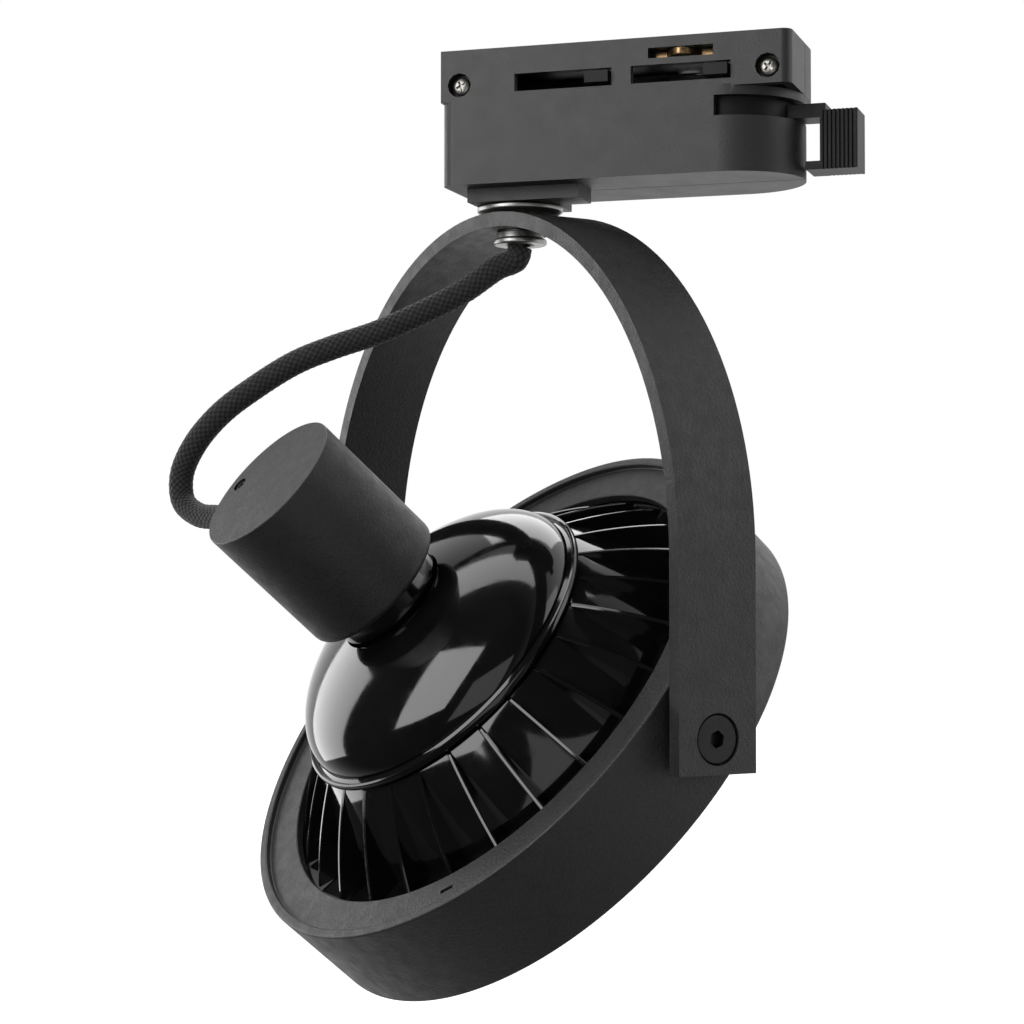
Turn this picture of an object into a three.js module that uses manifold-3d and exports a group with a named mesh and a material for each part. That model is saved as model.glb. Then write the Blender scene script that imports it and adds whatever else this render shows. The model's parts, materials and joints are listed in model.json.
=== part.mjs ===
// Track spotlight: a single-circuit track adapter, a swivelling strap yoke and a tilting ring
// that holds a 111 mm reflector lamp with its GU10 lampholder in a can behind it.
// Millimetres, +Z up. +X runs along the adapter towards its locking lever.
// The origin is on the swivel axis, at the level of the adapter's top face.
import * as THREE from "three";
import { mergeVertices } from "three/addons/utils/BufferGeometryUtils.js";
import Module from "manifold-3d";

const wasm = await Module();
wasm.setup();

const { PI, cos, sin, sqrt } = Math;
const RAD = PI / 180;

// ---- Driving dimensions ----
const GAP = 0.3; // between pieces that touch
const LAP = 1; // how far joined bodies run into each other, and cuts past a face
const FIT = 0.4; // between pieces that move on each other

// Adapter
const LEFT_END = -12.5; // x of the adapter's left end
const ADAPTER_LENGTH = 73; // left end to the crown of the rounded right end
const ADAPTER_WIDTH = 30;
const LOWER_HEIGHT = 17.4; // the body that stays below the track
const UPPER_HEIGHT = 10.4; // the part that goes into the track
const UPPER_INSET = 0.3; // step between the two
const SHELL_WALL = 2;
const LOWER_CORNER = 3;
const UPPER_FRONT_CORNER = 2;
const UPPER_REAR_CORNER = 9;
const PAD_HEIGHT = 2.8; // moulded pad round the swivel
const PAD_HALF_WIDTH = 9.5;
const PAD_FRONT_REACH = 15.5;
const PAD_REAR_REACH = 8.5;

// Adapter screws
const SCREW_HEAD_RADIUS = 1.85;
const SCREW_SHANK_RADIUS = 1.2;
const SCREW_SHORT = 5; // the shank's end before the rear face
const SCREW_SINK = 1.2; // the head's top below the face
const SCREW_HEAD_HEIGHT = 1.3;
const SCREW_POCKET_RADIUS = 2.5;
const SCREW_BOSS_RADIUS = 3.3;
const SCREW_DROP = 7.2; // below the top face
const SCREW_LEFT_IN = 4; // from the left end
const SCREW_RIGHT_PAST = 10.3; // past the lever's axis

// Locking lever and latches
const LEVER_SHAFT_RADIUS = 2.5;
const LEVER_THICKNESS = 2.9;
const LEVER_DROP = 13.1; // top of the lever disc below the adapter's top
const LEVER_SLOT_MARGIN = 0.6; // above and below the lever
const LEVER_SLOT_BEFORE = 0.5; // the slot's blind end, before the lever's axis
const LEVER_RIM_HEIGHT = 1.6; // rim on both faces of the disc, which closes the slot to dust
const LEVER_RIM_WIDTH = 1.4;
const LEVER_ARM_WIDTH = 7;
const HANDLE_GAP = 3.8; // finger gap between the round end and the handle
const HANDLE_LENGTH = 7.6;
const HANDLE_WIDTH = 9;
const HANDLE_HEIGHT = 12;
const HANDLE_DROP = 14.6; // top of the handle below the adapter's top
const HANDLE_RIB = 0.35;
const HANDLE_RIBS = 9;
const LIP_THICKNESS = 1.7;
const LIP_CLEARANCE = 0.9;
const LATCH_SPACING = 24.5; // between the two latch axes
const LATCH_PROUD = 0.9; // the tip past the adapter's face when locked
const LATCH_WIDTH = 5;
const LATCH_THICKNESS = 2.4;
const LATCH_DROP = 6.2; // top of the latch below the adapter's top
const LATCH_HUB_RADIUS = 3.2;
const LATCH_SLOT_HEIGHT = 3.6;
const LATCH_SLOT_LENGTH = 20.5;
const CRANK_RADIUS = 4; // link pin from the latch axis
const LATCH_WEB = 1; // round the link pin
const LINK_PIN_RADIUS = 0.9;
const LINK_THICKNESS = 1.3;
const LINK_HALF_WIDTH = 2;

// Contacts and wiring inside the adapter
const CONTACT_HEIGHT = 1.7;
const CONTACT_THICKNESS = 0.6;
const CONTACT_HALF_LENGTH = 6;
const CONTACT_PROUD = 0.6;
const CONTACT_SLOT_HEIGHT = 2.1;
const CONTACT_SLOT_LENGTH = 13.4;
const CONTACT_DROP = 2.4; // top of the contact below the adapter's top
const CONTACT_BEFORE_LEVER = 7.3; // from the contact's middle to the lever's axis
const CONTACT_STEPS = 14;
const TERMINAL_LENGTH = 13;
const TERMINAL_WIDTH = 15;
const TERMINAL_HEIGHT = 7.5;
const LEAD_RADIUS = 0.9;
const LEAD_SIDES = 8;
const LEAD_STEPS = 26;
const SOCKET_LOW = 1; // shaft sockets above the underside
const SOCKET_HIGH = 6;
const SHAFT_CLEARANCE = 2; // from a shaft socket to the wiring

// Swivel
const NIPPLE_RADIUS = 3.9;
const NIPPLE_BORE = 2.9;
const LOCK_NUT_FLATS = 12;
const LOCK_NUT_HEIGHT = 3.2;
const NIPPLE_PROUD = 1; // above its lock nut
const WASHER_RADIUS = 9;
const WASHER_THICKNESS = 1.5;
const WASHER_CHAMFER = 1.2;
const OUTLET_RADIUS = 4.9;
const OUTLET_FLANGE_RADIUS = 5.6;
const OUTLET_HEIGHT = 2.7;
const OUTLET_FLANGE_THICKNESS = 1.1;

// Yoke
const YOKE_ANGLE = -39.3; // of the pivot axis from +X, at rest
const STRAP_THICKNESS = 3;
const STRAP_WIDTH = 18;
const PIVOT_DROP = 110.7; // adapter's underside to the pivot axis
const LEG_HEIGHT = 34; // straight part of an arm above the pivot
const LEG_TAIL = 6.6; // arm below the pivot
const ARCH_STEPS = 36;
const PIVOT_SPACE = 1.6; // between the ring and an arm

// Head
const HEAD_TILT = 39.5; // elevation of the lamp's rear axis, at rest
const RING_WALL = 2;
const LAMP_CLEARANCE = 5; // between the lamp's face and the ring
const RING_BACK = 12.5; // rear rim, from the pivot axis
const RING_DEPTH = 22;
const FLANGE_RECESS = 1.3;
const FLANGE_THICKNESS = 2;
const FLANGE_HOLD = 2.6; // the flange over the lamp's face
const BOSS_RADIUS = 4.5;
const BOSS_REACH = 3.2; // ring wall to the end of a threaded boss
const PIVOT_SCREW_RADIUS = 2.5;
const PIVOT_HEAD_RADIUS = 4.6;
const PIVOT_HEAD_HEIGHT = 2;
const PIVOT_HEAD_RIM = 0.4;
const PIVOT_SOCKET_FLATS = 3;
const PIVOT_SOCKET_DEPTH = 1.3;
const PIVOT_SEAT_CLEARANCE = 0.35;
const RETAINER_THICKNESS = 1.2;
const RETAINER_HOLD = 4; // the retainer under the lamp's face
const RING_EDGE = 0.5;
const PIVOT_FLAT_DEPTH = 0.35; // spot faced on the ring for a washer
const PIVOT_WASHER_RADIUS = 5.5;

// Lamp
const LAMP_RADIUS = 55.5; // standard 111 mm face
const BEZEL_DEPTH = 8.8;
const BEZEL_WALL = 2;
const BEZEL_LIP = 3.5;
const BEZEL_EDGE = 0.6;
const LENS_THICKNESS = 2;
const FINS = 28;
const FIN_THICKNESS = 1.1;
const FIN_STAND = 2.8;
const FIN_PHASE = -4.2; // degrees from the pivot axis
const BOWL_WALL = 2;
const BOWL_CURVE = 0.92; // below 1 the bowl's line is full
const BOWL_STEPS = 3;
const BOWL_BORE = 20;
const BOWL_RIM = 5; // width of the bowl's seat behind the lens
const FIN_ROOT_RADIUS = 30; // how far in a fin runs inside the bowl's wall
const FIN_FOOT_RISE = 3; // a fin's foot above the bowl's seat
const FIN_FOOT_RADIUS = 46;
const REFLECTOR_RADIUS = 46;
const REFLECTOR_THROAT = 16;
const REFLECTOR_DEPTH = 7.4;
const REFLECTOR_WALL = 1;
const BOARD_THICKNESS = 1.6;
const LED_BOARD_RADIUS = 19;
const DRIVER_BOARD_RADIUS = 24;
const DOME_RADIUS = 34.2;
const DOME_LIP = 1.8; // the lip past the dome
const DOME_LIP_HEIGHT = 1.6;
const DOME_FOOT = 25.8; // the dome's foot, from the pivot axis
const DOME_RISE = 15.4;
const DOME_WALL = 1.6;
const NECK_RADIUS = 12;
const NECK_STEP = 1.5; // from the neck down to the cap
const NECK_ROOT = 0.55; // share of the dome's rise where the neck starts
const NECK_IN_CAN = 4;
const PIN_SPACING = 10;
const PIN_RADIUS = 1.5;
const PIN_HEAD_RADIUS = 2.5;
const PIN_HEAD_LENGTH = 3;
const PIN_LENGTH = 7;
// x, y, width and height of each component on the driver board
const COMPONENTS = [[-12, -8, 4, 6], [3, -9, 7, 5], [-4, 7, 8, 6]];

// Lampholder can
const CAN_RADIUS = 15.8;
const CAN_WALL = 1.5;
const CAN_END_WALL = 2;
const CAN_FRONT = 45.6; // open edge, from the pivot axis
const CAN_LENGTH = 31.1;
const CAN_EDGE = 0.5;
const HOLDER_CLEARANCE = 1.5; // between the lampholder and the can's wall
const HOLDER_HEIGHT = 14;
const HOLDER_SPACE = 2.4; // behind the lampholder, for the leads
const HOLDER_CONTACT_THICKNESS = 1;
const CAN_SCREW_IN = 3.8; // from the can's side to its end screw
const CAN_SCREW_RADIUS = 1.3;
const CAN_SCREW_LENGTH = 1.2; // past the can's end wall
const BUSHING_FROM_BACK = 8.6;
const BUSHING_RADIUS = 4.2;
const BUSHING_FLANGE = 1.6;
const BUSHING_BORE = 0.9;
const BUSHING_SHOULDER = 1;
const SPOT_DEPTH = 0.6; // flat cut in the can's side for the bushing

// Cord
const CORD_RADIUS = 2.6;
const CORD_SIDES = 10;
const CORD_STEPS = 32;

const ROUND = 56; // facets of the large turned parts
const MEDIUM = 32;
const SMALL = 12;

// ---- Derived places ----
const ADAPTER_HEIGHT = LOWER_HEIGHT + UPPER_HEIGHT;
const UNDERSIDE = -ADAPTER_HEIGHT;
const HALF_WIDTH = ADAPTER_WIDTH / 2;
const LEVER_X = LEFT_END + ADAPTER_LENGTH - HALF_WIDTH;
const LATCH_X = LEVER_X - LATCH_SPACING;
const LEVER_DISC_RADIUS = HALF_WIDTH - SHELL_WALL - FIT;
const CONTACT_X = LEVER_X - CONTACT_BEFORE_LEVER;
const SHOULDER = -UPPER_HEIGHT;
const SCREW_LEFT_X = LEFT_END + SCREW_LEFT_IN;
const SCREW_RIGHT_X = LEVER_X + SCREW_RIGHT_PAST;
const LATCH_TOP = -LATCH_DROP;
const LATCH_REACH = HALF_WIDTH + LATCH_PROUD;
const NIPPLE_TOP = UNDERSIDE + SHELL_WALL + LOCK_NUT_HEIGHT + NIPPLE_PROUD;
const WASHER_TOP = UNDERSIDE - PAD_HEIGHT - GAP;
const YOKE_TOP = WASHER_TOP - WASHER_THICKNESS - GAP;
const PIVOT_Z = UNDERSIDE - PIVOT_DROP;
const RING_INSIDE = LAMP_RADIUS + LAMP_CLEARANCE;
const RING_RADIUS = RING_INSIDE + RING_WALL;
const YOKE_HALF_WIDTH = RING_RADIUS + PIVOT_SPACE + STRAP_THICKNESS;
const ARCH_RISE = YOKE_TOP - STRAP_THICKNESS / 2 - PIVOT_Z - LEG_HEIGHT;
const OUTLET_TOP = YOKE_TOP - STRAP_THICKNESS - GAP;
const OUTLET_BOTTOM = OUTLET_TOP - OUTLET_HEIGHT;
const FLANGE_OPENING = LAMP_RADIUS - FLANGE_HOLD;
const RETAINER_OPENING = LAMP_RADIUS - RETAINER_HOLD;
const FLANGE_BACK = RING_BACK - FLANGE_RECESS;
const FLANGE_FRONT = FLANGE_BACK - FLANGE_THICKNESS;
const BEZEL_BACK = FLANGE_FRONT - GAP;
const LAMP_FACE = BEZEL_BACK - BEZEL_DEPTH;
const LIP_RADIUS = DOME_RADIUS + DOME_LIP;
const LIP_FOOT = DOME_FOOT - DOME_LIP_HEIGHT;
const BOWL_TOP = LIP_FOOT - GAP;
const CAN_BACK = CAN_FRONT + CAN_LENGTH;
const BUSHING_Z = CAN_BACK - BUSHING_FROM_BACK;
const HOLDER_RADIUS = CAN_RADIUS - CAN_WALL - HOLDER_CLEARANCE;
const CAN_SCREW_OFFSET = CAN_RADIUS - CAN_SCREW_IN;
const BASE_RADIUS = NECK_RADIUS - NECK_STEP;
const BASE_TOP = CAN_BACK - CAN_END_WALL - HOLDER_SPACE - HOLDER_HEIGHT;

// ---- Solids ----

// A closed three.js geometry as a manifold solid.
function solid(geometry) {
  const bare = geometry.index ? geometry.toNonIndexed() : geometry.clone();
  bare.deleteAttribute("normal");
  bare.deleteAttribute("uv");
  const merged = mergeVertices(bare, 1e-4);
  const vertProperties = merged.attributes.position.array;
  const triVerts = new Uint32Array(merged.index.array);
  return new wasm.Manifold(new wasm.Mesh({ numProp: 3, vertProperties, triVerts }));
}

// A manifold solid as a three.js geometry.
function geometryOf(body) {
  const { numProp, vertProperties, triVerts } = body.getMesh();
  const count = vertProperties.length / numProp;
  const points = new Float32Array(count * 3);
  for (let i = 0; i < count; i++) {
    points.set(vertProperties.subarray(i * numProp, i * numProp + 3), i * 3);
  }
  const geometry = new THREE.BufferGeometry();
  geometry.setAttribute("position", new THREE.BufferAttribute(points, 3));
  geometry.setIndex(new THREE.BufferAttribute(triVerts, 1));
  geometry.computeVertexNormals();
  return geometry;
}

// A box between two corners.
function block(low, high) {
  const size = high.map((v, i) => v - low[i]);
  const middle = high.map((v, i) => (v + low[i]) / 2);
  return solid(new THREE.BoxGeometry(...size).translate(...middle));
}

// A shape in the XY plane, raised from z = low to z = high.
function prism(shape, low, high, curveSegments = 8) {
  const depth = high - low;
  const raised = new THREE.ExtrudeGeometry(shape, { depth, bevelEnabled: false, curveSegments });
  return solid(raised.translate(0, 0, low));
}

// A profile of [radius, height] corners turned round the Z axis.
function turned(profile, segments = MEDIUM) {
  const area = profile.reduce((sum, [r, z], i) => {
    const [nextR, nextZ] = profile[(i + 1) % profile.length];
    return sum + r * nextZ - nextR * z;
  }, 0);
  const outline = area > 0 ? profile : [...profile].reverse();
  const start = outline.findIndex(([r], i) => r === 0 && outline.at(i - 1)[0] === 0);
  const turnedTo = start < 0 ? outline : [...outline.slice(start), ...outline.slice(0, start)];
  const closed = start < 0 ? [...turnedTo, turnedTo[0]] : turnedTo;
  const points = closed.map(([r, z]) => new THREE.Vector2(r, z));
  return solid(new THREE.LatheGeometry(points, segments).rotateX(PI / 2));
}

// A round bar or tube along Z.
const rod = (radius, low, high, segments = SMALL) =>
  turned([[0, low], [radius, low], [radius, high], [0, high]], segments);
const tube = (inner, outer, low, high, segments = SMALL) =>
  turned([[inner, low], [outer, low], [outer, high], [inner, high]], segments);

// A regular hexagonal bar along Z, given across its flats.
const hexBar = (flats, low, high) => rod(flats / sqrt(3), low, high, 6);

// A body that lies along Z turned to lie along +Y, or along +X.
const alongY = (body) => body.rotate([-90, 0, 0]);
const alongX = (body) => body.rotate([0, 90, 0]);

const union = (bodies) => bodies.reduce((whole, piece) => whole.add(piece));
const cut = (body, tools) => tools.reduce((whole, tool) => whole.subtract(tool), body);

// A round-cornered plan, with its own radius at each corner, from front left, anticlockwise.
function plan(x0, x1, y0, y1, [frontLeft, frontRight, rearRight, rearLeft]) {
  const shape = new THREE.Shape();
  const corner = (x, y, radius, from) => {
    if (radius > 0) shape.absarc(x, y, radius, from, from + PI / 2, false);
    else shape.lineTo(x, y);
  };
  shape.moveTo(x0 + frontLeft, y0);
  corner(x1 - frontRight, y0 + frontRight, frontRight, -PI / 2);
  corner(x1 - rearRight, y1 - rearRight, rearRight, 0);
  corner(x0 + rearLeft, y1 - rearLeft, rearLeft, PI / 2);
  corner(x0 + frontLeft, y0 + frontLeft, frontLeft, PI);
  shape.closePath();
  return shape;
}

// ---- Assembly helpers ----
const finish = (color, roughness, metalness) => ({ color, roughness, metalness });
const FINISHES = {
  moulded: finish(0x26272a, 0.62, 0),
  satin: finish(0x18191b, 0.4, 0),
  coated: finish(0x1f2022, 0.55, 0.1),
  gloss: finish(0x08080a, 0.08, 0),
  chrome: finish(0xd8dadc, 0.12, 1),
  nickel: finish(0xbdbbb4, 0.3, 1),
  brass: finish(0xc29a4c, 0.3, 1),
  black_steel: finish(0x1b1b1d, 0.35, 0.6),
  ceramic: finish(0xe8e4d8, 0.45, 0),
  lens: finish(0xdfe6ea, 0.15, 0),
  board: finish(0xe9e9e4, 0.5, 0),
  reflector: finish(0xc9ccd0, 0.15, 1),
  braid: finish(0x161617, 0.9, 0),
  rubber: finish(0x1a1a1a, 0.8, 0),
  lead_brown: finish(0x5a3218, 0.6, 0),
  lead_blue: finish(0x2a4c8c, 0.6, 0),
};

function addPart(group, name, body, look) {
  const material = new THREE.MeshStandardMaterial(FINISHES[look]);
  const mesh = new THREE.Mesh(geometryOf(body), material);
  mesh.name = name;
  group.add(mesh);
}

// ---- Adapter shells ----

function adapterOutside() {
  const right = LEVER_X + HALF_WIDTH;
  const lowerCorners = [LOWER_CORNER, HALF_WIDTH, HALF_WIDTH, LOWER_CORNER];
  const lower = plan(LEFT_END, right, -HALF_WIDTH, HALF_WIDTH, lowerCorners);
  const side = HALF_WIDTH - UPPER_INSET;
  const upperCorners = [0, UPPER_FRONT_CORNER, UPPER_REAR_CORNER, 0];
  const upper = plan(LEFT_END, right, -side, side, upperCorners);
  const lowerBody = prism(lower, UNDERSIDE, SHOULDER);
  return lowerBody.add(prism(upper, SHOULDER - GAP, 0));
}

function adapterInside() {
  const left = LEFT_END + SHELL_WALL;
  const right = LEVER_X + HALF_WIDTH - SHELL_WALL;
  const side = HALF_WIDTH - SHELL_WALL;
  const lower = plan(left, right, -side, side, [1, side, side, 1]);
  const upperSide = side - UPPER_INSET;
  const upper = plan(left, right, -upperSide, upperSide, [0, 1, UPPER_REAR_CORNER - SHELL_WALL, 0]);
  const lowerSpace = prism(lower, UNDERSIDE + SHELL_WALL, SHOULDER);
  return lowerSpace.add(prism(upper, SHOULDER - GAP, -SHELL_WALL));
}

// Slots in both long sides: two for the latches, one for the contact above.
function sideSlots() {
  const across = ADAPTER_WIDTH;
  const slot = (x0, x1, low, high) => block([x0, -across, low], [x1, across, high]);
  const latchHigh = LATCH_TOP + (LATCH_SLOT_HEIGHT - LATCH_THICKNESS) / 2;
  const latchLow = latchHigh - LATCH_SLOT_HEIGHT;
  const latchSlot = (axis) => {
    const right = axis + LATCH_WIDTH / 2 + FIT;
    return slot(right - LATCH_SLOT_LENGTH, right, latchLow, latchHigh);
  };
  const contactHigh = -CONTACT_DROP + (CONTACT_SLOT_HEIGHT - CONTACT_HEIGHT) / 2;
  const half = CONTACT_SLOT_LENGTH / 2;
  const contactSlot = slot(
    CONTACT_X - half, CONTACT_X + half, contactHigh - CONTACT_SLOT_HEIGHT, contactHigh,
  );
  return [latchSlot(LATCH_X), latchSlot(LEVER_X), contactSlot];
}

// The slot that the lever's arm swings in, round the whole right end.
function leverSlot() {
  const high = -LEVER_DROP + LEVER_SLOT_MARGIN;
  const low = -LEVER_DROP - LEVER_THICKNESS - LEVER_SLOT_MARGIN;
  return block(
    [LEVER_X - LEVER_SLOT_BEFORE, -ADAPTER_WIDTH, low],
    [LEVER_X + ADAPTER_WIDTH, ADAPTER_WIDTH, high],
  );
}

// Sockets on the floor for the two upright shafts.
const shaftSocket = (x) =>
  tube(
    LEVER_SHAFT_RADIUS + FIT, LEVER_SHAFT_RADIUS + SHELL_WALL,
    UNDERSIDE + SOCKET_LOW, UNDERSIDE + SOCKET_HIGH,
  ).translate([x, 0, 0]);

const onScrewAxis = (body, x) => alongY(body).translate([x, 0, -SCREW_DROP]);

function screwBosses() {
  const reach = HALF_WIDTH - SHELL_WALL;
  return [SCREW_LEFT_X, SCREW_RIGHT_X].map((x) =>
    onScrewAxis(rod(SCREW_BOSS_RADIUS, -reach, reach), x),
  );
}

function screwHoles() {
  const front = -HALF_WIDTH - LAP;
  const pocketEnd = -HALF_WIDTH + SCREW_SINK + SCREW_HEAD_HEIGHT + GAP;
  const holes = [SCREW_LEFT_X, SCREW_RIGHT_X].map((x) => [
    onScrewAxis(rod(SCREW_SHANK_RADIUS + GAP, front, HALF_WIDTH - SCREW_SHORT + LAP), x),
    onScrewAxis(rod(SCREW_POCKET_RADIUS, front, pocketEnd), x),
  ]);
  return holes.flat();
}

function swivelPad(reach, y0, y1) {
  return block([-PAD_REAR_REACH, y0, UNDERSIDE - PAD_HEIGHT], [reach, y1, UNDERSIDE + LAP]);
}

function adapterShells(group) {
  const hollow = cut(adapterOutside(), [adapterInside(), leverSlot()]);
  const fitted = union([hollow, ...screwBosses(), shaftSocket(LEVER_X), shaftSocket(LATCH_X)]);
  const nippleHole = rod(NIPPLE_RADIUS + GAP, YOKE_TOP, UNDERSIDE + SHELL_WALL + LAP);
  const far = 2 * ADAPTER_LENGTH;
  const half = GAP / 2;
  const pads = {
    front: swivelPad(PAD_FRONT_REACH, -PAD_HALF_WIDTH, -half),
    rear: swivelPad(PAD_REAR_REACH, half, PAD_HALF_WIDTH),
  };
  const sides = {
    front: block([-far, -far, -far], [far, -half, far]),
    rear: block([-far, half, -far], [far, far, far]),
  };
  for (const side of ["front", "rear"]) {
    const shell = fitted.intersect(sides[side]).add(pads[side]);
    const open = cut(shell, [...sideSlots(), ...screwHoles(), nippleHole]);
    addPart(group, `adapter_${side}_shell`, open, "moulded");
  }
}

// A cross recess pressed into a screw head whose top is at z = top.
function crossRecess(width, thickness, depth, top) {
  const arm = (x, y) => block([-x, -y, top - depth], [x, y, top + LAP]);
  return arm(width / 2, thickness / 2).add(arm(thickness / 2, width / 2));
}

function adapterScrew() {
  const head = -HALF_WIDTH + SCREW_SINK;
  const neck = head + SCREW_HEAD_HEIGHT;
  const end = HALF_WIDTH - SCREW_SHORT;
  const profile = [
    [0, head],
    [SCREW_HEAD_RADIUS * 0.7, head],
    [SCREW_HEAD_RADIUS, head + SCREW_HEAD_HEIGHT * 0.45],
    [SCREW_HEAD_RADIUS, neck],
    [SCREW_SHANK_RADIUS, neck],
    [SCREW_SHANK_RADIUS, end],
    [0, end],
  ];
  const recess = crossRecess(SCREW_HEAD_RADIUS * 1.1, 0.5, 0.8, 0).rotate([180, 0, 0]);
  return alongY(turned(profile, SMALL).subtract(recess.translate([0, 0, head])));
}

function adapterScrews(group) {
  const places = { left: SCREW_LEFT_X, right: SCREW_RIGHT_X };
  for (const [side, x] of Object.entries(places)) {
    addPart(group, `adapter_screw_${side}`, adapterScrew().translate([x, 0, -SCREW_DROP]), "nickel");
  }
}

// ---- Lever and latches ----

function lockLever() {
  const top = -LEVER_DROP;
  const bottom = top - LEVER_THICKNESS;
  const inner = HALF_WIDTH + HANDLE_GAP;
  const rimInside = LEVER_DISC_RADIUS - LEVER_RIM_WIDTH;
  const arm = LEVER_ARM_WIDTH / 2;
  const half = HANDLE_WIDTH / 2;
  const handleBottom = -HANDLE_DROP - HANDLE_HEIGHT;
  const pitch = HANDLE_LENGTH / HANDLE_RIBS;
  const grooves = Array.from({ length: HANDLE_RIBS - 1 }, (_, i) => {
    const x = inner + (i + 1) * pitch - HANDLE_RIB / 2;
    return [-1, 1].map((side) => {
      const y = side * half;
      return block(
        [x, y - HANDLE_RIB, handleBottom - LAP],
        [x + HANDLE_RIB, y + HANDLE_RIB, -HANDLE_DROP + LAP],
      );
    });
  });
  const pieces = [
    rod(LEVER_DISC_RADIUS, bottom, top, MEDIUM),
    tube(rimInside, LEVER_DISC_RADIUS, bottom - LEVER_RIM_HEIGHT, top + LEVER_RIM_HEIGHT, MEDIUM),
    rod(LEVER_SHAFT_RADIUS, UNDERSIDE + SHELL_WALL + GAP, bottom + LAP),
    block([rimInside, -arm, bottom], [inner + LAP, arm, top]),
    block([inner, -half, handleBottom], [inner + HANDLE_LENGTH, half, -HANDLE_DROP]),
    block(
      [HALF_WIDTH + LIP_CLEARANCE, -half, handleBottom],
      [inner + LAP, half, handleBottom + LIP_THICKNESS],
    ),
  ];
  return cut(union(pieces), grooves.flat());
}

// A latch that points to the front when locked, with the crank pin for the link bar.
function latch(shaftBottom) {
  const bottom = LATCH_TOP - LATCH_THICKNESS;
  const half = LATCH_WIDTH / 2;
  const pin = rod(LINK_PIN_RADIUS, bottom + LAP, LATCH_TOP + GAP + LINK_THICKNESS, SMALL / 2);
  const web = LINK_PIN_RADIUS + LATCH_WEB;
  return union([
    rod(LATCH_HUB_RADIUS, bottom, LATCH_TOP),
    rod(LEVER_SHAFT_RADIUS, shaftBottom, bottom + LAP),
    block([-half, -LATCH_REACH, bottom], [half, 0, LATCH_TOP]),
    block([-web, 0, bottom], [web, CRANK_RADIUS + web, LATCH_TOP]),
    pin.translate([0, CRANK_RADIUS, 0]),
  ]);
}

function linkBar() {
  const low = LATCH_TOP + GAP;
  const high = low + LINK_THICKNESS;
  const ends = [LATCH_X, LEVER_X];
  const bar = plan(
    LATCH_X - LINK_HALF_WIDTH, LEVER_X + LINK_HALF_WIDTH, -LINK_HALF_WIDTH, LINK_HALF_WIDTH,
    Array(4).fill(LINK_HALF_WIDTH),
  );
  const holes = ends.map((x) => rod(LINK_PIN_RADIUS + FIT, low - LAP, high + LAP).translate([x, 0, 0]));
  return cut(prism(bar, low, high, 6), holes).translate([0, CRANK_RADIUS, 0]);
}

function lockingGear(group) {
  const onLeverAxis = new THREE.Group();
  onLeverAxis.position.x = LEVER_X;
  addPart(onLeverAxis, "lock_lever", lockLever(), "satin");
  addPart(onLeverAxis, "latch_right", latch(-LEVER_DROP + GAP), "satin");
  const onLatchAxis = new THREE.Group();
  onLatchAxis.position.x = LATCH_X;
  addPart(onLatchAxis, "latch_left", latch(UNDERSIDE + SHELL_WALL + GAP), "satin");
  group.add(onLeverAxis, onLatchAxis);
  addPart(group, "latch_link_bar", linkBar(), "black_steel");
}

// ---- Contacts, terminal block and leads in the adapter ----

// A leaf that bows out through the contact slot, towards -Y.
function contactSpring() {
  const foot = HALF_WIDTH - SHELL_WALL - UPPER_INSET - GAP - CONTACT_THICKNESS;
  const crown = HALF_WIDTH + CONTACT_PROUD - CONTACT_THICKNESS;
  const ends = CONTACT_HALF_LENGTH;
  const bowed = (x) => -foot - (crown - foot) * Math.max(0, cos((x / ends) * PI * 0.75)) ** 1.5;
  const xs = Array.from({ length: CONTACT_STEPS + 1 }, (_, i) =>
    -ends + (2 * ends * i) / CONTACT_STEPS,
  );
  const outer = xs.map((x) => [x, bowed(x) - CONTACT_THICKNESS]);
  const inner = [...xs].reverse().map((x) => [x, bowed(x)]);
  const shape = new THREE.Shape([...outer, ...inner].map(([x, y]) => new THREE.Vector2(x, y)));
  const leaf = prism(shape, -CONTACT_DROP - CONTACT_HEIGHT, -CONTACT_DROP);
  return leaf.translate([CONTACT_X, 0, 0]);
}

function terminalBlock() {
  const length = TERMINAL_LENGTH;
  const width = TERMINAL_WIDTH;
  const height = TERMINAL_HEIGHT;
  const bottom = UNDERSIDE + SHELL_WALL + GAP;
  const right = LEVER_X - LEVER_SHAFT_RADIUS - SHELL_WALL - SHAFT_CLEARANCE;
  const body = block([right - length, -width / 2, bottom], [right, width / 2, bottom + height]);
  const mouths = [-1, 1].map((side) =>
    alongX(rod(LEAD_RADIUS + FIT, -length, length / 2))
      .translate([right - length, (side * width) / 4, bottom + height / 2]),
  );
  return { body: cut(body, mouths), mouth: [right - length, width / 4, bottom + height / 2] };
}

// A round tube of one radius along a curve through points.
function tubeAlong(points, radius, sides, steps) {
  const section = new THREE.Shape();
  section.moveTo(radius, 0);
  for (let i = 1; i < sides; i++) {
    const turn = (2 * PI * i) / sides;
    section.lineTo(radius * cos(turn), radius * sin(turn));
  }
  section.closePath();
  const extrudePath = new THREE.CatmullRomCurve3(points.map((p) => new THREE.Vector3(...p)));
  return solid(new THREE.ExtrudeGeometry(section, { steps, bevelEnabled: false, extrudePath }));
}

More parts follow.
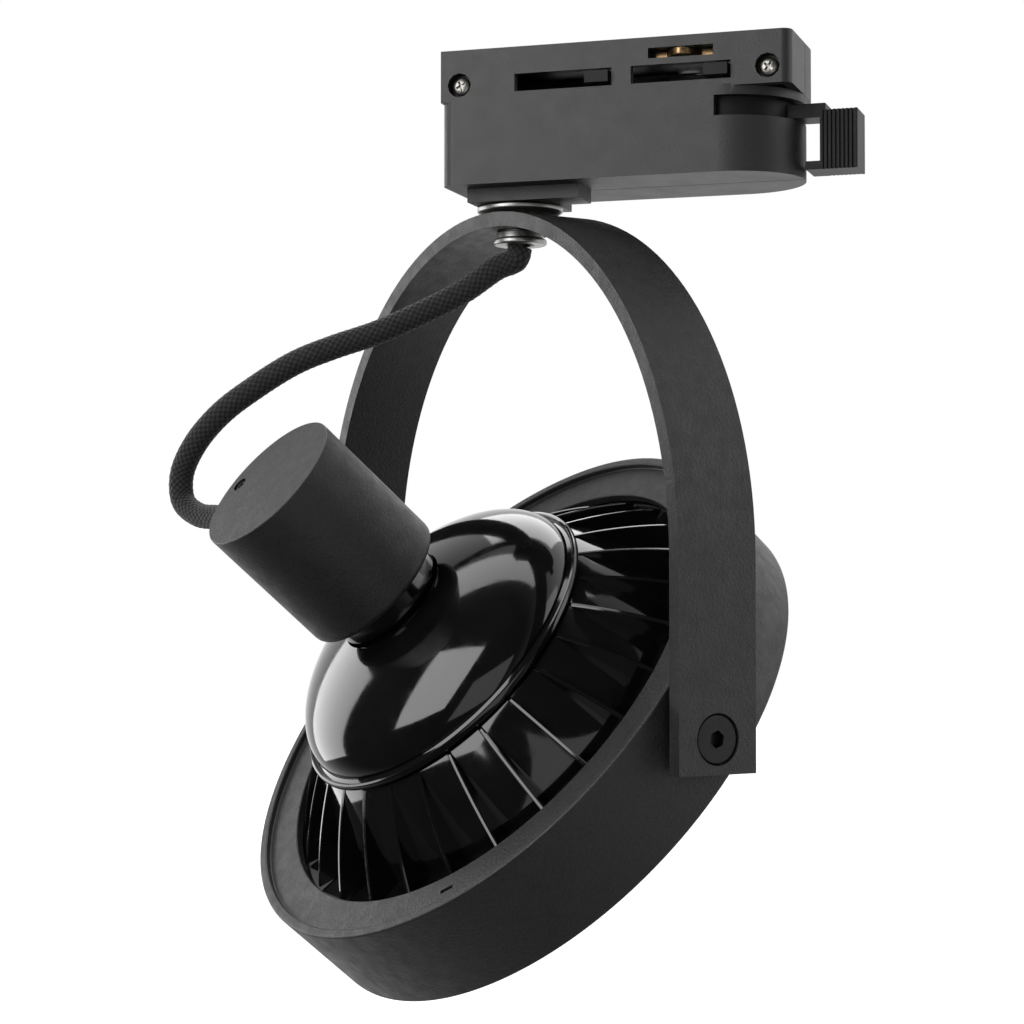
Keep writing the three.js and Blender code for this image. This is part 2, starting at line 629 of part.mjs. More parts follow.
function adapterWiring(group) {
  const rearContact = contactSpring().mirror([0, 1, 0]);
  addPart(group, "contact_spring_front", contactSpring(), "brass");
  addPart(group, "contact_spring_rear", rearContact, "brass");
  const { body, mouth } = terminalBlock();
  addPart(group, "terminal_block", body, "ceramic");
  const [x, y, z] = mouth;
  const from = NIPPLE_BORE / 2;
  const latchClear = LEVER_SHAFT_RADIUS + SHELL_WALL + SHAFT_CLEARANCE;
  for (const [name, side] of [["lead_live", -1], ["lead_neutral", 1]]) {
    const route = [
      [0, side * from, NIPPLE_TOP - 3],
      [0.3, side * from, NIPPLE_TOP],
      [3, side * 2.5, NIPPLE_TOP + 2.8],
      [LATCH_X / 2, side * 5.5, NIPPLE_TOP + 3],
      [LATCH_X, side * latchClear, z + 1.5],
      [x - 1, side * y, z],
      [x + 2, side * y, z],
    ];
    const look = side < 0 ? "lead_brown" : "lead_blue";
    addPart(group, name, tubeAlong(route, LEAD_RADIUS, LEAD_SIDES, LEAD_STEPS), look);
  }
}

// ---- Swivel ----

function swivel(group) {
  const nippleBottom = OUTLET_BOTTOM + OUTLET_FLANGE_THICKNESS;
  const threadClear = NIPPLE_RADIUS + GAP;
  addPart(group, "hollow_nipple", tube(NIPPLE_BORE, NIPPLE_RADIUS, nippleBottom, NIPPLE_TOP), "nickel");
  const nutBottom = UNDERSIDE + SHELL_WALL + GAP;
  const lockNut = cut(hexBar(LOCK_NUT_FLATS, nutBottom, nutBottom + LOCK_NUT_HEIGHT), [
    rod(threadClear, nutBottom - LAP, nutBottom + LOCK_NUT_HEIGHT + LAP),
  ]);
  addPart(group, "nipple_lock_nut", lockNut, "nickel");
  const washer = turned([
    [threadClear, WASHER_TOP],
    [threadClear, WASHER_TOP - WASHER_THICKNESS],
    [WASHER_RADIUS - WASHER_CHAMFER, WASHER_TOP - WASHER_THICKNESS],
    [WASHER_RADIUS, WASHER_TOP - WASHER_THICKNESS * 0.6],
    [WASHER_RADIUS, WASHER_TOP],
  ]);
  addPart(group, "swivel_washer", washer, "chrome");
  const flangeTop = OUTLET_BOTTOM + OUTLET_FLANGE_THICKNESS;
  const outlet = turned([
    [threadClear, OUTLET_TOP],
    [OUTLET_RADIUS, OUTLET_TOP],
    [OUTLET_RADIUS, flangeTop],
    [OUTLET_FLANGE_RADIUS, flangeTop - 0.2],
    [OUTLET_FLANGE_RADIUS, OUTLET_BOTTOM + 0.3],
    [OUTLET_FLANGE_RADIUS - 0.5, OUTLET_BOTTOM],
    [NIPPLE_BORE, OUTLET_BOTTOM],
    [NIPPLE_BORE, flangeTop - GAP],
    [threadClear, flangeTop - GAP],
  ], MEDIUM);
  addPart(group, "cord_outlet_nut", outlet, "chrome");
}

// ---- Yoke ----

// Half of the strap's centreline outline at one offset, from the crown to the foot of an arm.
function archSide(offset) {
  const across = YOKE_HALF_WIDTH - STRAP_THICKNESS / 2 + offset;
  const rise = ARCH_RISE + offset;
  const quarter = ARCH_STEPS / 2;
  const curve = Array.from({ length: quarter + 1 }, (_, i) => {
    const turn = ((quarter - i) / quarter) * (PI / 2);
    return [across * cos(turn), LEG_HEIGHT + rise * sin(turn)];
  });
  return [...curve, [across, -LEG_TAIL]];
}

function yokeStrap() {
  const half = STRAP_THICKNESS / 2;
  const outer = archSide(half);
  const inner = archSide(-half);
  const mirrored = (side) => side.slice(1).map(([x, z]) => [-x, z]);
  const outline = [
    ...mirrored(outer).reverse(), ...outer, ...inner.reverse(), ...mirrored(archSide(-half)),
  ];
  const shape = new THREE.Shape(outline.map(([x, z]) => new THREE.Vector2(x, z)));
  const flat = prism(shape, -STRAP_WIDTH / 2, STRAP_WIDTH / 2);
  const upright = flat.rotate([90, 0, 0]);
  const crown = LEG_HEIGHT + ARCH_RISE;
  const swivelHole = rod(NIPPLE_RADIUS + FIT, crown - STRAP_WIDTH / 2, crown + STRAP_WIDTH / 2);
  return cut(upright, [swivelHole, pivotSeat(1), pivotSeat(-1)]);
}

// The clearance hole and countersunk seat for one pivot screw, on the +X or -X arm.
function pivotSeat(side) {
  const face = YOKE_HALF_WIDTH;
  const head = PIVOT_HEAD_RADIUS + PIVOT_SEAT_CLEARANCE;
  const hole = PIVOT_SCREW_RADIUS + PIVOT_SEAT_CLEARANCE;
  const profile = [
    [0, face - 3 * STRAP_THICKNESS],
    [hole, face - 3 * STRAP_THICKNESS],
    [hole, face - PIVOT_HEAD_HEIGHT - 1.5 * GAP],
    [head, face - PIVOT_HEAD_RIM - 1.5 * GAP],
    [head, face + LAP],
    [0, face + LAP],
  ];
  const tool = alongX(turned(profile, SMALL));
  return side > 0 ? tool : tool.mirror([1, 0, 0]);
}

// ---- Pivots, on the head ----

function pivotScrew() {
  const face = YOKE_HALF_WIDTH - GAP;
  const end = RING_RADIUS - BOSS_REACH;
  const profile = [
    [0, end],
    [PIVOT_SCREW_RADIUS, end],
    [PIVOT_SCREW_RADIUS, face - PIVOT_HEAD_HEIGHT],
    [PIVOT_HEAD_RADIUS, face - PIVOT_HEAD_RIM],
    [PIVOT_HEAD_RADIUS, face],
    [0, face],
  ];
  const socket = hexBar(PIVOT_SOCKET_FLATS, face - PIVOT_SOCKET_DEPTH, face + LAP);
  return alongX(turned(profile, SMALL).subtract(socket));
}

function pivotWasher() {
  const low = RING_RADIUS + GAP;
  const high = YOKE_HALF_WIDTH - STRAP_THICKNESS - GAP;
  return alongX(tube(PIVOT_SCREW_RADIUS + GAP, PIVOT_WASHER_RADIUS, low, high));
}

function pivots(group) {
  for (const [name, side] of [["right", 1], ["left", -1]]) {
    const placed = (body) => (side > 0 ? body : body.mirror([1, 0, 0]));
    addPart(group, `pivot_screw_${name}`, placed(pivotScrew()), "black_steel");
    addPart(group, `pivot_washer_${name}`, placed(pivotWasher()), "rubber");
  }
}

// ---- Ring ----

function ringHousing() {
  const front = RING_BACK - RING_DEPTH;
  const profile = [
    [RING_RADIUS - RING_EDGE, front],
    [RING_RADIUS, front + RING_EDGE],
    [RING_RADIUS, RING_BACK - RING_EDGE],
    [RING_RADIUS - RING_EDGE, RING_BACK],
    [RING_INSIDE, RING_BACK],
    [RING_INSIDE, FLANGE_BACK],
    [FLANGE_OPENING, FLANGE_BACK],
    [FLANGE_OPENING, FLANGE_FRONT],
    [RING_INSIDE, FLANGE_FRONT],
    [RING_INSIDE, front],
  ];
  const bore = rod(PIVOT_SCREW_RADIUS + GAP, -RING_RADIUS - LAP, RING_RADIUS + LAP);
  const boss = (side) => {
    const reach = RING_INSIDE - BOSS_REACH + RING_WALL;
    const low = side > 0 ? reach : -RING_INSIDE - RING_WALL / 2;
    const high = side > 0 ? RING_INSIDE + RING_WALL / 2 : -reach;
    return alongX(rod(BOSS_RADIUS, low, high));
  };
  const flatFace = (side) => {
    const depth = PIVOT_WASHER_RADIUS + LAP;
    const x = [RING_RADIUS - PIVOT_FLAT_DEPTH, RING_RADIUS + LAP];
    const [low, high] = side > 0 ? x : [-x[1], -x[0]];
    return block([low, -depth, -depth], [high, depth, depth]);
  };
  const body = union([turned(profile, ROUND), boss(1), boss(-1)]);
  return cut(body, [alongX(bore), flatFace(1), flatFace(-1)]);
}

// The ring that holds the lamp's face from the front, with two gaps for the threaded bosses.
function lampRetainer() {
  const back = LAMP_FACE - GAP;
  const front = back - RETAINER_THICKNESS;
  const outside = RING_INSIDE - GAP;
  const ring = turned([
    [RETAINER_OPENING, front],
    [outside, front],
    [outside, back],
    [RETAINER_OPENING, back],
  ], ROUND);
  const notch = BOSS_RADIUS + LAP;
  const gaps = [1, -1].map((side) => {
    const x = side * RING_INSIDE;
    return block([x - BOSS_REACH - LAP, -notch, front - LAP], [x + BOSS_REACH, notch, back + LAP]);
  });
  return cut(ring, gaps);
}

// ---- Lamp ----

// Height of the finned bowl's outside at a radius, from the pivot axis.
function bowlHeight(radius, inset) {
  const foot = FLANGE_OPENING - GAP - inset;
  const top = LIP_RADIUS - 1 - inset;
  const share = (foot - radius) / (foot - top);
  const rise = BOWL_TOP - FLANGE_FRONT;
  return FLANGE_FRONT - inset * 0.3 + rise * share ** BOWL_CURVE;
}

function bowlLine(inset) {
  const foot = FLANGE_OPENING - GAP - inset;
  const top = LIP_RADIUS - 1 - inset;
  return Array.from({ length: BOWL_STEPS + 1 }, (_, i) => {
    const radius = foot + ((top - foot) * i) / BOWL_STEPS;
    return [radius, bowlHeight(radius, inset)];
  });
}

function heatSink() {
  const rim = LAMP_RADIUS - BEZEL_WALL - GAP;
  const seat = LAMP_FACE + BEZEL_LIP + LENS_THICKNESS + 2 * GAP;
  const shoulder = BEZEL_BACK - BEZEL_WALL - GAP;
  const outer = bowlLine(FIN_STAND);
  const inner = bowlLine(FIN_STAND + BOWL_WALL);
  const profile = [
    [rim, seat],
    [rim, shoulder],
    [FLANGE_OPENING - FIN_STAND - GAP, shoulder],
    ...outer,
    [outer.at(-1)[0], BOWL_TOP],
    [BOWL_BORE, BOWL_TOP],
    [BOWL_BORE, BOWL_TOP - BOWL_WALL],
    ...inner.reverse(),
    [rim - BOWL_RIM, seat],
  ];
  const foot = seat + FIN_FOOT_RISE;
  const finOutline = [
    [FLANGE_OPENING - GAP, foot],
    ...bowlLine(0),
    [LIP_RADIUS - 1, BOWL_TOP],
    [FIN_ROOT_RADIUS, BOWL_TOP],
    [FIN_ROOT_RADIUS, BOWL_TOP - FIN_STAND - BOWL_WALL],
    [FIN_FOOT_RADIUS, foot],
  ];
  const finShape = new THREE.Shape(finOutline.map(([r, z]) => new THREE.Vector2(r, z)));
  const plate = prism(finShape, -FIN_THICKNESS / 2, FIN_THICKNESS / 2).rotate([90, 0, 0]);
  const inside = turned([[0, seat - LAP], ...bowlLine(FIN_STAND + FIT), [0, BOWL_TOP + LAP]]);
  const rib = plate.subtract(inside);
  const fins = Array.from({ length: FINS }, (_, i) =>
    rib.rotate([0, 0, FIN_PHASE + (i * 360) / FINS]),
  );
  return union([turned(profile, FINS * 2), ...fins]);
}

function lampBezel() {
  const profile = [
    [LAMP_RADIUS - BEZEL_WALL - BEZEL_LIP, LAMP_FACE],
    [LAMP_RADIUS - BEZEL_EDGE, LAMP_FACE],
    [LAMP_RADIUS, LAMP_FACE + BEZEL_EDGE],
    [LAMP_RADIUS, BEZEL_BACK],
    [FLANGE_OPENING + GAP, BEZEL_BACK],
    [FLANGE_OPENING + GAP, BEZEL_BACK - BEZEL_WALL],
    [LAMP_RADIUS - BEZEL_WALL, BEZEL_BACK - BEZEL_WALL],
    [LAMP_RADIUS - BEZEL_WALL, LAMP_FACE + BEZEL_LIP / 2],
    [LAMP_RADIUS - BEZEL_WALL - BEZEL_LIP, LAMP_FACE + BEZEL_LIP / 2],
  ];
  return turned(profile, ROUND);
}

function lampFront(group) {
  const lensLow = LAMP_FACE + BEZEL_LIP / 2 + GAP;
  const lensRadius = LAMP_RADIUS - BEZEL_WALL - GAP;
  addPart(group, "lamp_bezel", lampBezel(), "gloss");
  addPart(group, "lamp_lens", rod(lensRadius, lensLow, lensLow + LENS_THICKNESS, MEDIUM), "lens");
  const cupLow = lensLow + LENS_THICKNESS + GAP;
  const cupHigh = cupLow + REFLECTOR_DEPTH;
  const cup = turned([
    [REFLECTOR_RADIUS, cupLow],
    [REFLECTOR_RADIUS + REFLECTOR_WALL, cupLow],
    [REFLECTOR_THROAT + REFLECTOR_WALL, cupHigh],
    [REFLECTOR_THROAT, cupHigh],
  ]);
  addPart(group, "lamp_reflector", cup, "reflector");
  const boardLow = cupHigh + GAP;
  const board = rod(LED_BOARD_RADIUS, boardLow, boardLow + BOARD_THICKNESS, MEDIUM);
  addPart(group, "led_board", board, "board");
}

function domeLine(radius, rise, steps, opening) {
  const start = Math.acos(opening / radius);
  return Array.from({ length: steps + 1 }, (_, i) => {
    const turn = (start * i) / steps;
    return [radius * cos(turn), DOME_FOOT + rise * sin(turn)];
  });
}

function lampDome() {
  const foot = LIP_FOOT;
  const outer = domeLine(DOME_RADIUS, DOME_RISE, 7, NECK_RADIUS + GAP);
  const innerRadius = DOME_RADIUS - DOME_WALL;
  const inner = domeLine(innerRadius, DOME_RISE - DOME_WALL, 5, NECK_RADIUS + GAP).reverse();
  const profile = [
    [innerRadius, foot],
    [LIP_RADIUS - 0.4, foot],
    [LIP_RADIUS, foot + 0.4],
    [LIP_RADIUS, DOME_FOOT - 0.3],
    [LIP_RADIUS - 0.5, DOME_FOOT + 0.2],
    [DOME_RADIUS + 0.5, DOME_FOOT],
    ...outer,
    ...inner,
  ];
  return turned(profile, ROUND - 8);
}

function lampBase() {
  const foot = DOME_FOOT + DOME_RISE * NECK_ROOT;
  const step = CAN_FRONT + NECK_IN_CAN;
  return turned([
    [0, foot],
    [NECK_RADIUS - 1, foot],
    [NECK_RADIUS, foot + 1],
    [NECK_RADIUS, step],
    [BASE_RADIUS, step + NECK_STEP],
    [BASE_RADIUS, BASE_TOP],
    [0, BASE_TOP],
  ]);
}

function lampPin(side) {
  const low = BASE_TOP + GAP;
  const neck = low + PIN_LENGTH - PIN_HEAD_LENGTH;
  const pin = turned([
    [0, low],
    [PIN_RADIUS, low],
    [PIN_RADIUS, neck],
    [PIN_HEAD_RADIUS, neck],
    [PIN_HEAD_RADIUS, low + PIN_LENGTH],
    [0, low + PIN_LENGTH],
  ], SMALL);
  return pin.translate([0, (side * PIN_SPACING) / 2, 0]);
}

function lampBody(group) {
  addPart(group, "lamp_heat_sink", heatSink(), "gloss");
  addPart(group, "lamp_dome", lampDome(), "gloss");
  addPart(group, "lamp_base", lampBase(), "gloss");
  addPart(group, "lamp_pin_a", lampPin(-1), "nickel");
  addPart(group, "lamp_pin_b", lampPin(1), "nickel");
  addPart(group, "lamp_driver_board", driverBoard(), "board");
}

// The driver's round board with three components on it.
function driverBoard() {
  const low = DOME_FOOT - GAP;
  const high = low + BOARD_THICKNESS;
  const component = (x, y, width, height) =>
    block([x, y, high - GAP], [x + width, y + width, high + height]);
  return union([
    rod(DRIVER_BOARD_RADIUS, low, high, MEDIUM),
    ...COMPONENTS.map((size) => component(...size)),
  ]);
}

// ---- Lampholder and can ----

function lampHolder() {
  const low = BASE_TOP + GAP;
  const high = low + HOLDER_HEIGHT;
  const slots = [-1, 1].map((side) =>
    rod(PIN_HEAD_RADIUS + FIT, low - LAP, low + PIN_LENGTH + FIT).translate(
      [0, (side * PIN_SPACING) / 2, 0],
    ),
  );
  const pocket = PIN_HEAD_RADIUS + GAP;
  const pockets = [-1, 1].map((side) => {
    const y = (side * PIN_SPACING) / 2;
    return block([-pocket, y - pocket, low + PIN_LENGTH], [pocket, y + pocket, high + LAP]);
  });
  return cut(rod(HOLDER_RADIUS, low, high, MEDIUM), [...slots, ...pockets]);
}

function holderContact(side) {
  const low = BASE_TOP + GAP + PIN_LENGTH + FIT + GAP;
  const reach = PIN_HEAD_RADIUS - GAP;
  const high = low + HOLDER_CONTACT_THICKNESS;
  const body = block([-reach, -reach, low], [reach, reach, high]);
  return body.translate([0, (side * PIN_SPACING) / 2, 0]);
}

function socketCan() {
  const inside = CAN_RADIUS - CAN_WALL;
  const profile = [
    [inside, CAN_FRONT],
    [CAN_RADIUS - CAN_EDGE, CAN_FRONT],
    [CAN_RADIUS, CAN_FRONT + CAN_EDGE],
    [CAN_RADIUS, CAN_BACK - CAN_EDGE],
    [CAN_RADIUS - CAN_EDGE, CAN_BACK],
    [0, CAN_BACK],
    [0, CAN_BACK - CAN_END_WALL],
    [inside, CAN_BACK - CAN_END_WALL],
  ];
  const hole = BUSHING_RADIUS - BUSHING_SHOULDER;
  const sideHole = alongX(rod(hole, -CAN_RADIUS - LAP, 0)).translate([0, 0, BUSHING_Z]);
  const spot = CAN_RADIUS + BUSHING_FLANGE;
  const sideFlat = block(
    [-spot, -BUSHING_RADIUS - GAP, BUSHING_Z - BUSHING_RADIUS - GAP],
    [-CAN_RADIUS + SPOT_DEPTH, BUSHING_RADIUS + GAP, BUSHING_Z + BUSHING_RADIUS + GAP],
  );
  const screwHole = rod(CAN_SCREW_RADIUS + GAP, CAN_BACK - CAN_END_WALL - LAP, CAN_BACK + LAP)
    .translate([-CAN_SCREW_OFFSET, 0, 0]);
  return cut(turned(profile, MEDIUM), [sideHole, sideFlat, screwHole]);
}

function canScrew() {
  const top = CAN_BACK - GAP;
  const bottom = CAN_BACK - CAN_END_WALL - CAN_SCREW_LENGTH;
  const body = rod(CAN_SCREW_RADIUS, bottom, top);
  return body.subtract(crossRecess(1.6, 0.45, 0.6, top)).translate([-CAN_SCREW_OFFSET, 0, 0]);
}

// The bushing in the can's side, where the cord goes in.
function cordBushing() {
  const seat = CAN_RADIUS - SPOT_DEPTH + GAP;
  const inner = seat - CAN_WALL - LAP;
  const shank = BUSHING_RADIUS - BUSHING_SHOULDER - GAP;
  const outer = CAN_RADIUS + BUSHING_FLANGE;
  const body = turned([
    [BUSHING_BORE, inner],
    [shank, inner],
    [shank, seat],
    [BUSHING_RADIUS, seat],
    [BUSHING_RADIUS, outer - 0.5],
    [BUSHING_RADIUS - 0.5, outer],
    [BUSHING_BORE, outer],
  ], SMALL);
  return alongX(body).mirror([1, 0, 0]).translate([0, 0, BUSHING_Z]);
}

function lampholderCan(group) {
  addPart(group, "lampholder", lampHolder(), "ceramic");
  addPart(group, "socket_can", socketCan(), "coated");
  addPart(group, "can_screw", canScrew(), "black_steel");
  addPart(group, "cord_bushing", cordBushing(), "rubber");
}

// ---- Cord ----

// The cord's route in the yoke's frame at rest: x along the pivot axis, y away from the lamp's
// back, z from the pivot. It hangs out of the outlet and loops back into the can's bushing.
function cordRoute() {
  const top = OUTLET_BOTTOM - GAP - PIVOT_Z;
  const tilt = HEAD_TILT * RAD;
  const mouth = -(CAN_RADIUS + BUSHING_FLANGE + GAP);
  const mouthY = -BUSHING_Z * cos(tilt);
  const mouthZ = BUSHING_Z * sin(tilt);
  return [
    [0, 0, top],
    [-0.4, -0.7, top - 2.6],
    [-2.7, -3.8, 95.2],
    [-6.9, -9.6, 90.3],
    [-11.7, -16.2, 86.1],
    [-17.5, -24.4, 81.7],
    [-23, -32, 78.6],
    [-27.6, -38.3, 75.5],
    [-32.8, -45, 70.4],
    [-38.2, -50.6, 64.8],
    [-43.6, -54, 58.4],
    [-47.4, -55.2, 52],
    [-47, -55, 46.6],
    [-42, -54, 43.6],
    [-35.5, mouthY - 0.6, 42.9],
    [-28, mouthY - 0.2, mouthZ - 0.4],
    [mouth - 4, mouthY, mouthZ],
    [mouth, mouthY, mouthZ],
  ];
}

function powerCord() {
  return tubeAlong(cordRoute(), CORD_RADIUS, CORD_SIDES, CORD_STEPS);
}

// ---- Whole object ----

function adapter() {
  const group = new THREE.Group();
  adapterShells(group);
  adapterScrews(group);
  lockingGear(group);
  adapterWiring(group);
  swivel(group);
  return group;
}

function head() {
  const group = new THREE.Group();
  group.rotation.x = (90 - HEAD_TILT) * RAD;
  pivots(group);
  addPart(group, "ring_housing", ringHousing(), "coated");
  addPart(group, "lamp_retaining_ring", lampRetainer(), "black_steel");
  lampFront(group);
  lampBody(group);
  lampholderCan(group);
  for (const [name, side] of [["a", -1], ["b", 1]]) {
    addPart(group, `holder_contact_${name}`, holderContact(side), "brass");
  }
  return group;
}

function yoke() {
  const group = new THREE.Group();
  group.position.z = PIVOT_Z;
  group.rotation.z = YOKE_ANGLE * RAD;
  addPart(group, "yoke", yokeStrap(), "coated");
  addPart(group, "power_cord", powerCord(), "braid");
  group.add(head());
  return group;
}

const group = new THREE.Group();
group.add(adapter(), yoke());

export default group;
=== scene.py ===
import json
import math

import bmesh
import bpy
from mathutils import Matrix, Vector


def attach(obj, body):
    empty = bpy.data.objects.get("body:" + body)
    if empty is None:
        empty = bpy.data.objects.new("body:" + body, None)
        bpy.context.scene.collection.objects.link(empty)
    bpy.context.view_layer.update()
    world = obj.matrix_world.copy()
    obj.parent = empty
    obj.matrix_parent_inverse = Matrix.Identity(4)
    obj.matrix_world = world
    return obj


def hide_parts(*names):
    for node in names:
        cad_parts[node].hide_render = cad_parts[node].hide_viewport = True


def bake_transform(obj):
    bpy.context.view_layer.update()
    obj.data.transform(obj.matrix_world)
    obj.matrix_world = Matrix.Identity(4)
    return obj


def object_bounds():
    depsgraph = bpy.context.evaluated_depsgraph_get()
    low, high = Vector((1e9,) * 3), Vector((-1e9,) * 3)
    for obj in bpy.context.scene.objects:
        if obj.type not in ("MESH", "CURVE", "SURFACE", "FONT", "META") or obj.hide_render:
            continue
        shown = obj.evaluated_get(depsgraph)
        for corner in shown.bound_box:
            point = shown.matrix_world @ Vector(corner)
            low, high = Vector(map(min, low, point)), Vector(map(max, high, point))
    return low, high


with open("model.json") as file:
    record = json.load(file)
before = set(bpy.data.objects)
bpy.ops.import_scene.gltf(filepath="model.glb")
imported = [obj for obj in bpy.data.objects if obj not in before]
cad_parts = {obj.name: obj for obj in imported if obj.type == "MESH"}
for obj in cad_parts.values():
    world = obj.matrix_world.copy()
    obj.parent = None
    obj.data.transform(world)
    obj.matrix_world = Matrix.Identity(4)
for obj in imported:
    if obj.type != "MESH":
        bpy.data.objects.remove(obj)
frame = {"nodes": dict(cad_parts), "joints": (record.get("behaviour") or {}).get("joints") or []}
cad_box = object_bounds()

# Sizes are in millimetres until make() turns them into metres.
MM = 0.001
UP = Vector((0, 0, 1))

# ---- Camera, light and floor, in metres ----
CAMERA_AT = (0.1539, -0.4868, -0.1100)
CAMERA_TOWARDS = (-0.3045, 0.9520, 0.0302)
LENS = 85.9
SENSOR_WIDTH = 36
FLOOR_BELOW = 0.25
FLOOR_RADIUS = 6.0
FLOOR_THICKNESS = 0.01
FLOOR_TONE = 0.9
FLOOR_ROUGHNESS = (0.55, 0.65)
# name, place from the object's middle, width, height, watts
SOFTBOXES = [
    ("key", (-0.50, -0.88, 0.34), 0.80, 0.95, 13.0),
    ("overhead", (-0.20, 0.03, 1.05), 0.32, 1.30, 4.0),
    ("back_high", (-0.15, 0.74, 0.80), 0.86, 0.62, 4.6),
    ("left_panel", (-1.06, 0.28, 0.04), 0.66, 0.90, 6.4),
    ("right_panel", (1.15, 0.20, 0.35), 0.50, 0.90, 1.8),
    ("front_low", (0.50, -0.90, -0.20), 0.90, 0.80, 2.2),
]
# The room is white towards this direction and dark the other way.
ROOM_AXIS = (0.30, 0.95, 0.0)
ROOM_DARK = 0.05
ROOM_WHITE = 1.15
ROOM_DARK_END = -0.35
ROOM_WHITE_END = 0.75
FLOOR_GLOW = 0.75

# ---- Meshing ----
ROUND = 160
MEDIUM = 96
SMALL = 48
HEXAGON = 6
SHARP = math.radians(32)
EDGE_ANGLE = math.radians(40)
SKIN_EDGE_ANGLE = math.radians(35)
SKIN_FLATNESS = math.radians(1)
WELD = 1e-7
SKIN_WELD = 2e-6
ON_AXIS = 1e-6
BY_AREA = 100
FILLET_STEPS = 4
FINE_FILLET_STEPS = 5
CUT_PAST = 1  # a cutter's reach past the face that it opens
CUT_CLEAR = 3  # the same, past a round side

# ---- Edge fillets ----
KEEN = 0.1
CRISP = 0.15
FINE = 0.2
EASED = 0.3
SOFT = 0.35
ROUNDED = 0.5
SHELL_EDGE = 0.3
LEVER_EDGE = 0.12
RETAINER_EDGE = 0.2
STRAP_EDGE = 0.45
CAN_MOUTH_EDGE = 1.3
BEZEL_EDGE = 0.7
BEZEL_LIP_EDGE = 0.4
NECK_EDGE = 0.4
NUT_EDGE = 0.45
BUSHING_NOSE_EDGE = 0.6
SCREW_EDGE = 0.06
CAN_SCREW_EDGE = 0.05
LEAF_EDGE = 0.06

# ---- Sizes that the frame doesn't state ----
YOKE_THICKNESS = 3
YOKE_LEG = 34
YOKE_TAIL = 6.6
YOKE_STATIONS = 72
NIPPLE_CLEARANCE = 0.4
CROWN_CUT = 8

PIVOT_BORE = 2.85
PIVOT_SHANK = 2.5
PIVOT_HEAD_FOOT = 2
PIVOT_HEAD_LAND = 0.5
PIVOT_SEAT_CLEARANCE = 0.3
PIVOT_SEAT_FOOT = 2.6
PIVOT_SEAT_LAND = 0.9
PIVOT_CUT_IN = 10
PIVOT_CUT_OUT = 2
HEX_WIDTH = 3
HEX_DEPTH = 1.6

FLANGE_OPENING = 52.9
FLANGE_RECESS = 1.3
FLANGE_THICKNESS = 2
RING_WALL = 2
RETAINER_CLEARANCE = 0.3
SLIT_TURN = math.radians(-54.6)
SLIT_RADII = (56.4, 57.3)
SLIT_HALF_LENGTH = 1.5
SPOT_RADIUS = 5.6
SPOT_DEPTH = 0.35

DOME_WALL = 1.6
DOME_STEPS = 40
LIP_PAST_DOME = 1.8
LIP_HEIGHT = 1.6
LIP_CHAMFER = 0.4
# The lip's bead, as (radius past the lip's, height past the dome's foot), from outside inwards.
LIP_BEAD = [(0, -0.45), (-0.15, -0.12), (-0.5, 0), (-0.75, -0.12), (-0.9, -0.4), (-1.15, -0.45)]
DOME_FOOT = (0.25, -0.2)

FINS = 28
FIN_PHASE = math.radians(-4.2)
FIN_THICKNESS = 0.95
FIN_STEPS = 14
FIN_ROOT_SHARE = 1.3
FIN_CREST_SHARE = 0.5
FIN_IN_CORE = (0.7, 0.5)
FIN_CHAMFER = (0.16, 0.14)
FIN_BELLY = 1
BOWL_SIDES_PER_FIN = 6
COLLAR_UNDER_LIP = 1
COLLAR_EDGE = 0.3
COLLAR_FOOT = (0.8, -0.9)
FLANGE_CLEARANCE = 0.3
WALL_FOOT_INSET = 7.4
WALL_CONTROL = (-0.6, 4.2)
HEAT_SINK_FLOOR = 0.6
HEAT_SINK_FLOOR_RISE = 1.8
HEAT_SINK_WALL = 1.6
HEAT_SINK_WALL_DROP = 0.6
HEAT_SINK_BORE = 20

NECK_GROOVE = 0.5
NECK_GROOVE_LOW = 0.35
NECK_GROOVE_HIGH = 0.8
NECK_IN_CAN = 4
NECK_STEP = 1.5
NECK_FOOT_INSET = 1

BEZEL_WALL = 2
BEZEL_LIP = 3.5
BEZEL_CLEARANCE = 0.3

CAN_WALL = 1.5
CAN_END_WALL = 2
CAN_SCREW_OFFSET = 12
CAN_SCREW_HOLE = 1.6
CAN_SCREW_HOLE_DEPTH = 5
CAN_SCREW_TURN = math.radians(28)
BUSHING_FROM_BACK = 8.6
BUSHING_MOUTH = 4.5
BUSHING_MOUTH_DEPTH = 0.6
BUSHING_SHANK_INSET = 1.3
BUSHING_SEAT_DEPTH = 0.3
BUSHING_FLANGE = 0.8
BUSHING_STEP = 0.2
BUSHING_NOSE_INSET = 0.3

WASHER_CHAMFER_SHARE = 0.4
WASHER_FOOT_INSET = 1.2
NUT_FLANGE = 1.1
NUT_FLANGE_STEP = 0.2
NUT_COLLAR_INSET = 0.7
NUT_COLLAR_EDGE = 0.25
NUT_RECESS_WIDTH = 1.3
NUT_RECESS_FLOOR = 0.8

SCREW_SHANK = 1.2
SCREW_HEAD = 1.3
SCREW_HEAD_CROWN = 0.45
SCREW_HEAD_FLAT = 1
SCREW_TURNS = {"left": math.radians(24), "right": math.radians(-38)}
# The width, thickness and depth of a cross recess.
ADAPTER_CROSS = (2.1, 0.5, 0.7)
CAN_CROSS = (1.7, 0.45, 0.6)

LEAF_THICKNESS = 0.5
LEAF_CROWN_HALF = 3.4
LEAF_CROWN_RISE = 4.4
LEAF_CROWN_FULLNESS = 0.8
LEAF_CROWN_INSET = 0.25
LEAF_STEPS = 40

LENS_STEPS = 11
LENS_STEP_DEPTH = 0.35
LENS_STEP_SLOPE = 0.6
LENS_STEPPED_SHARE = 0.92

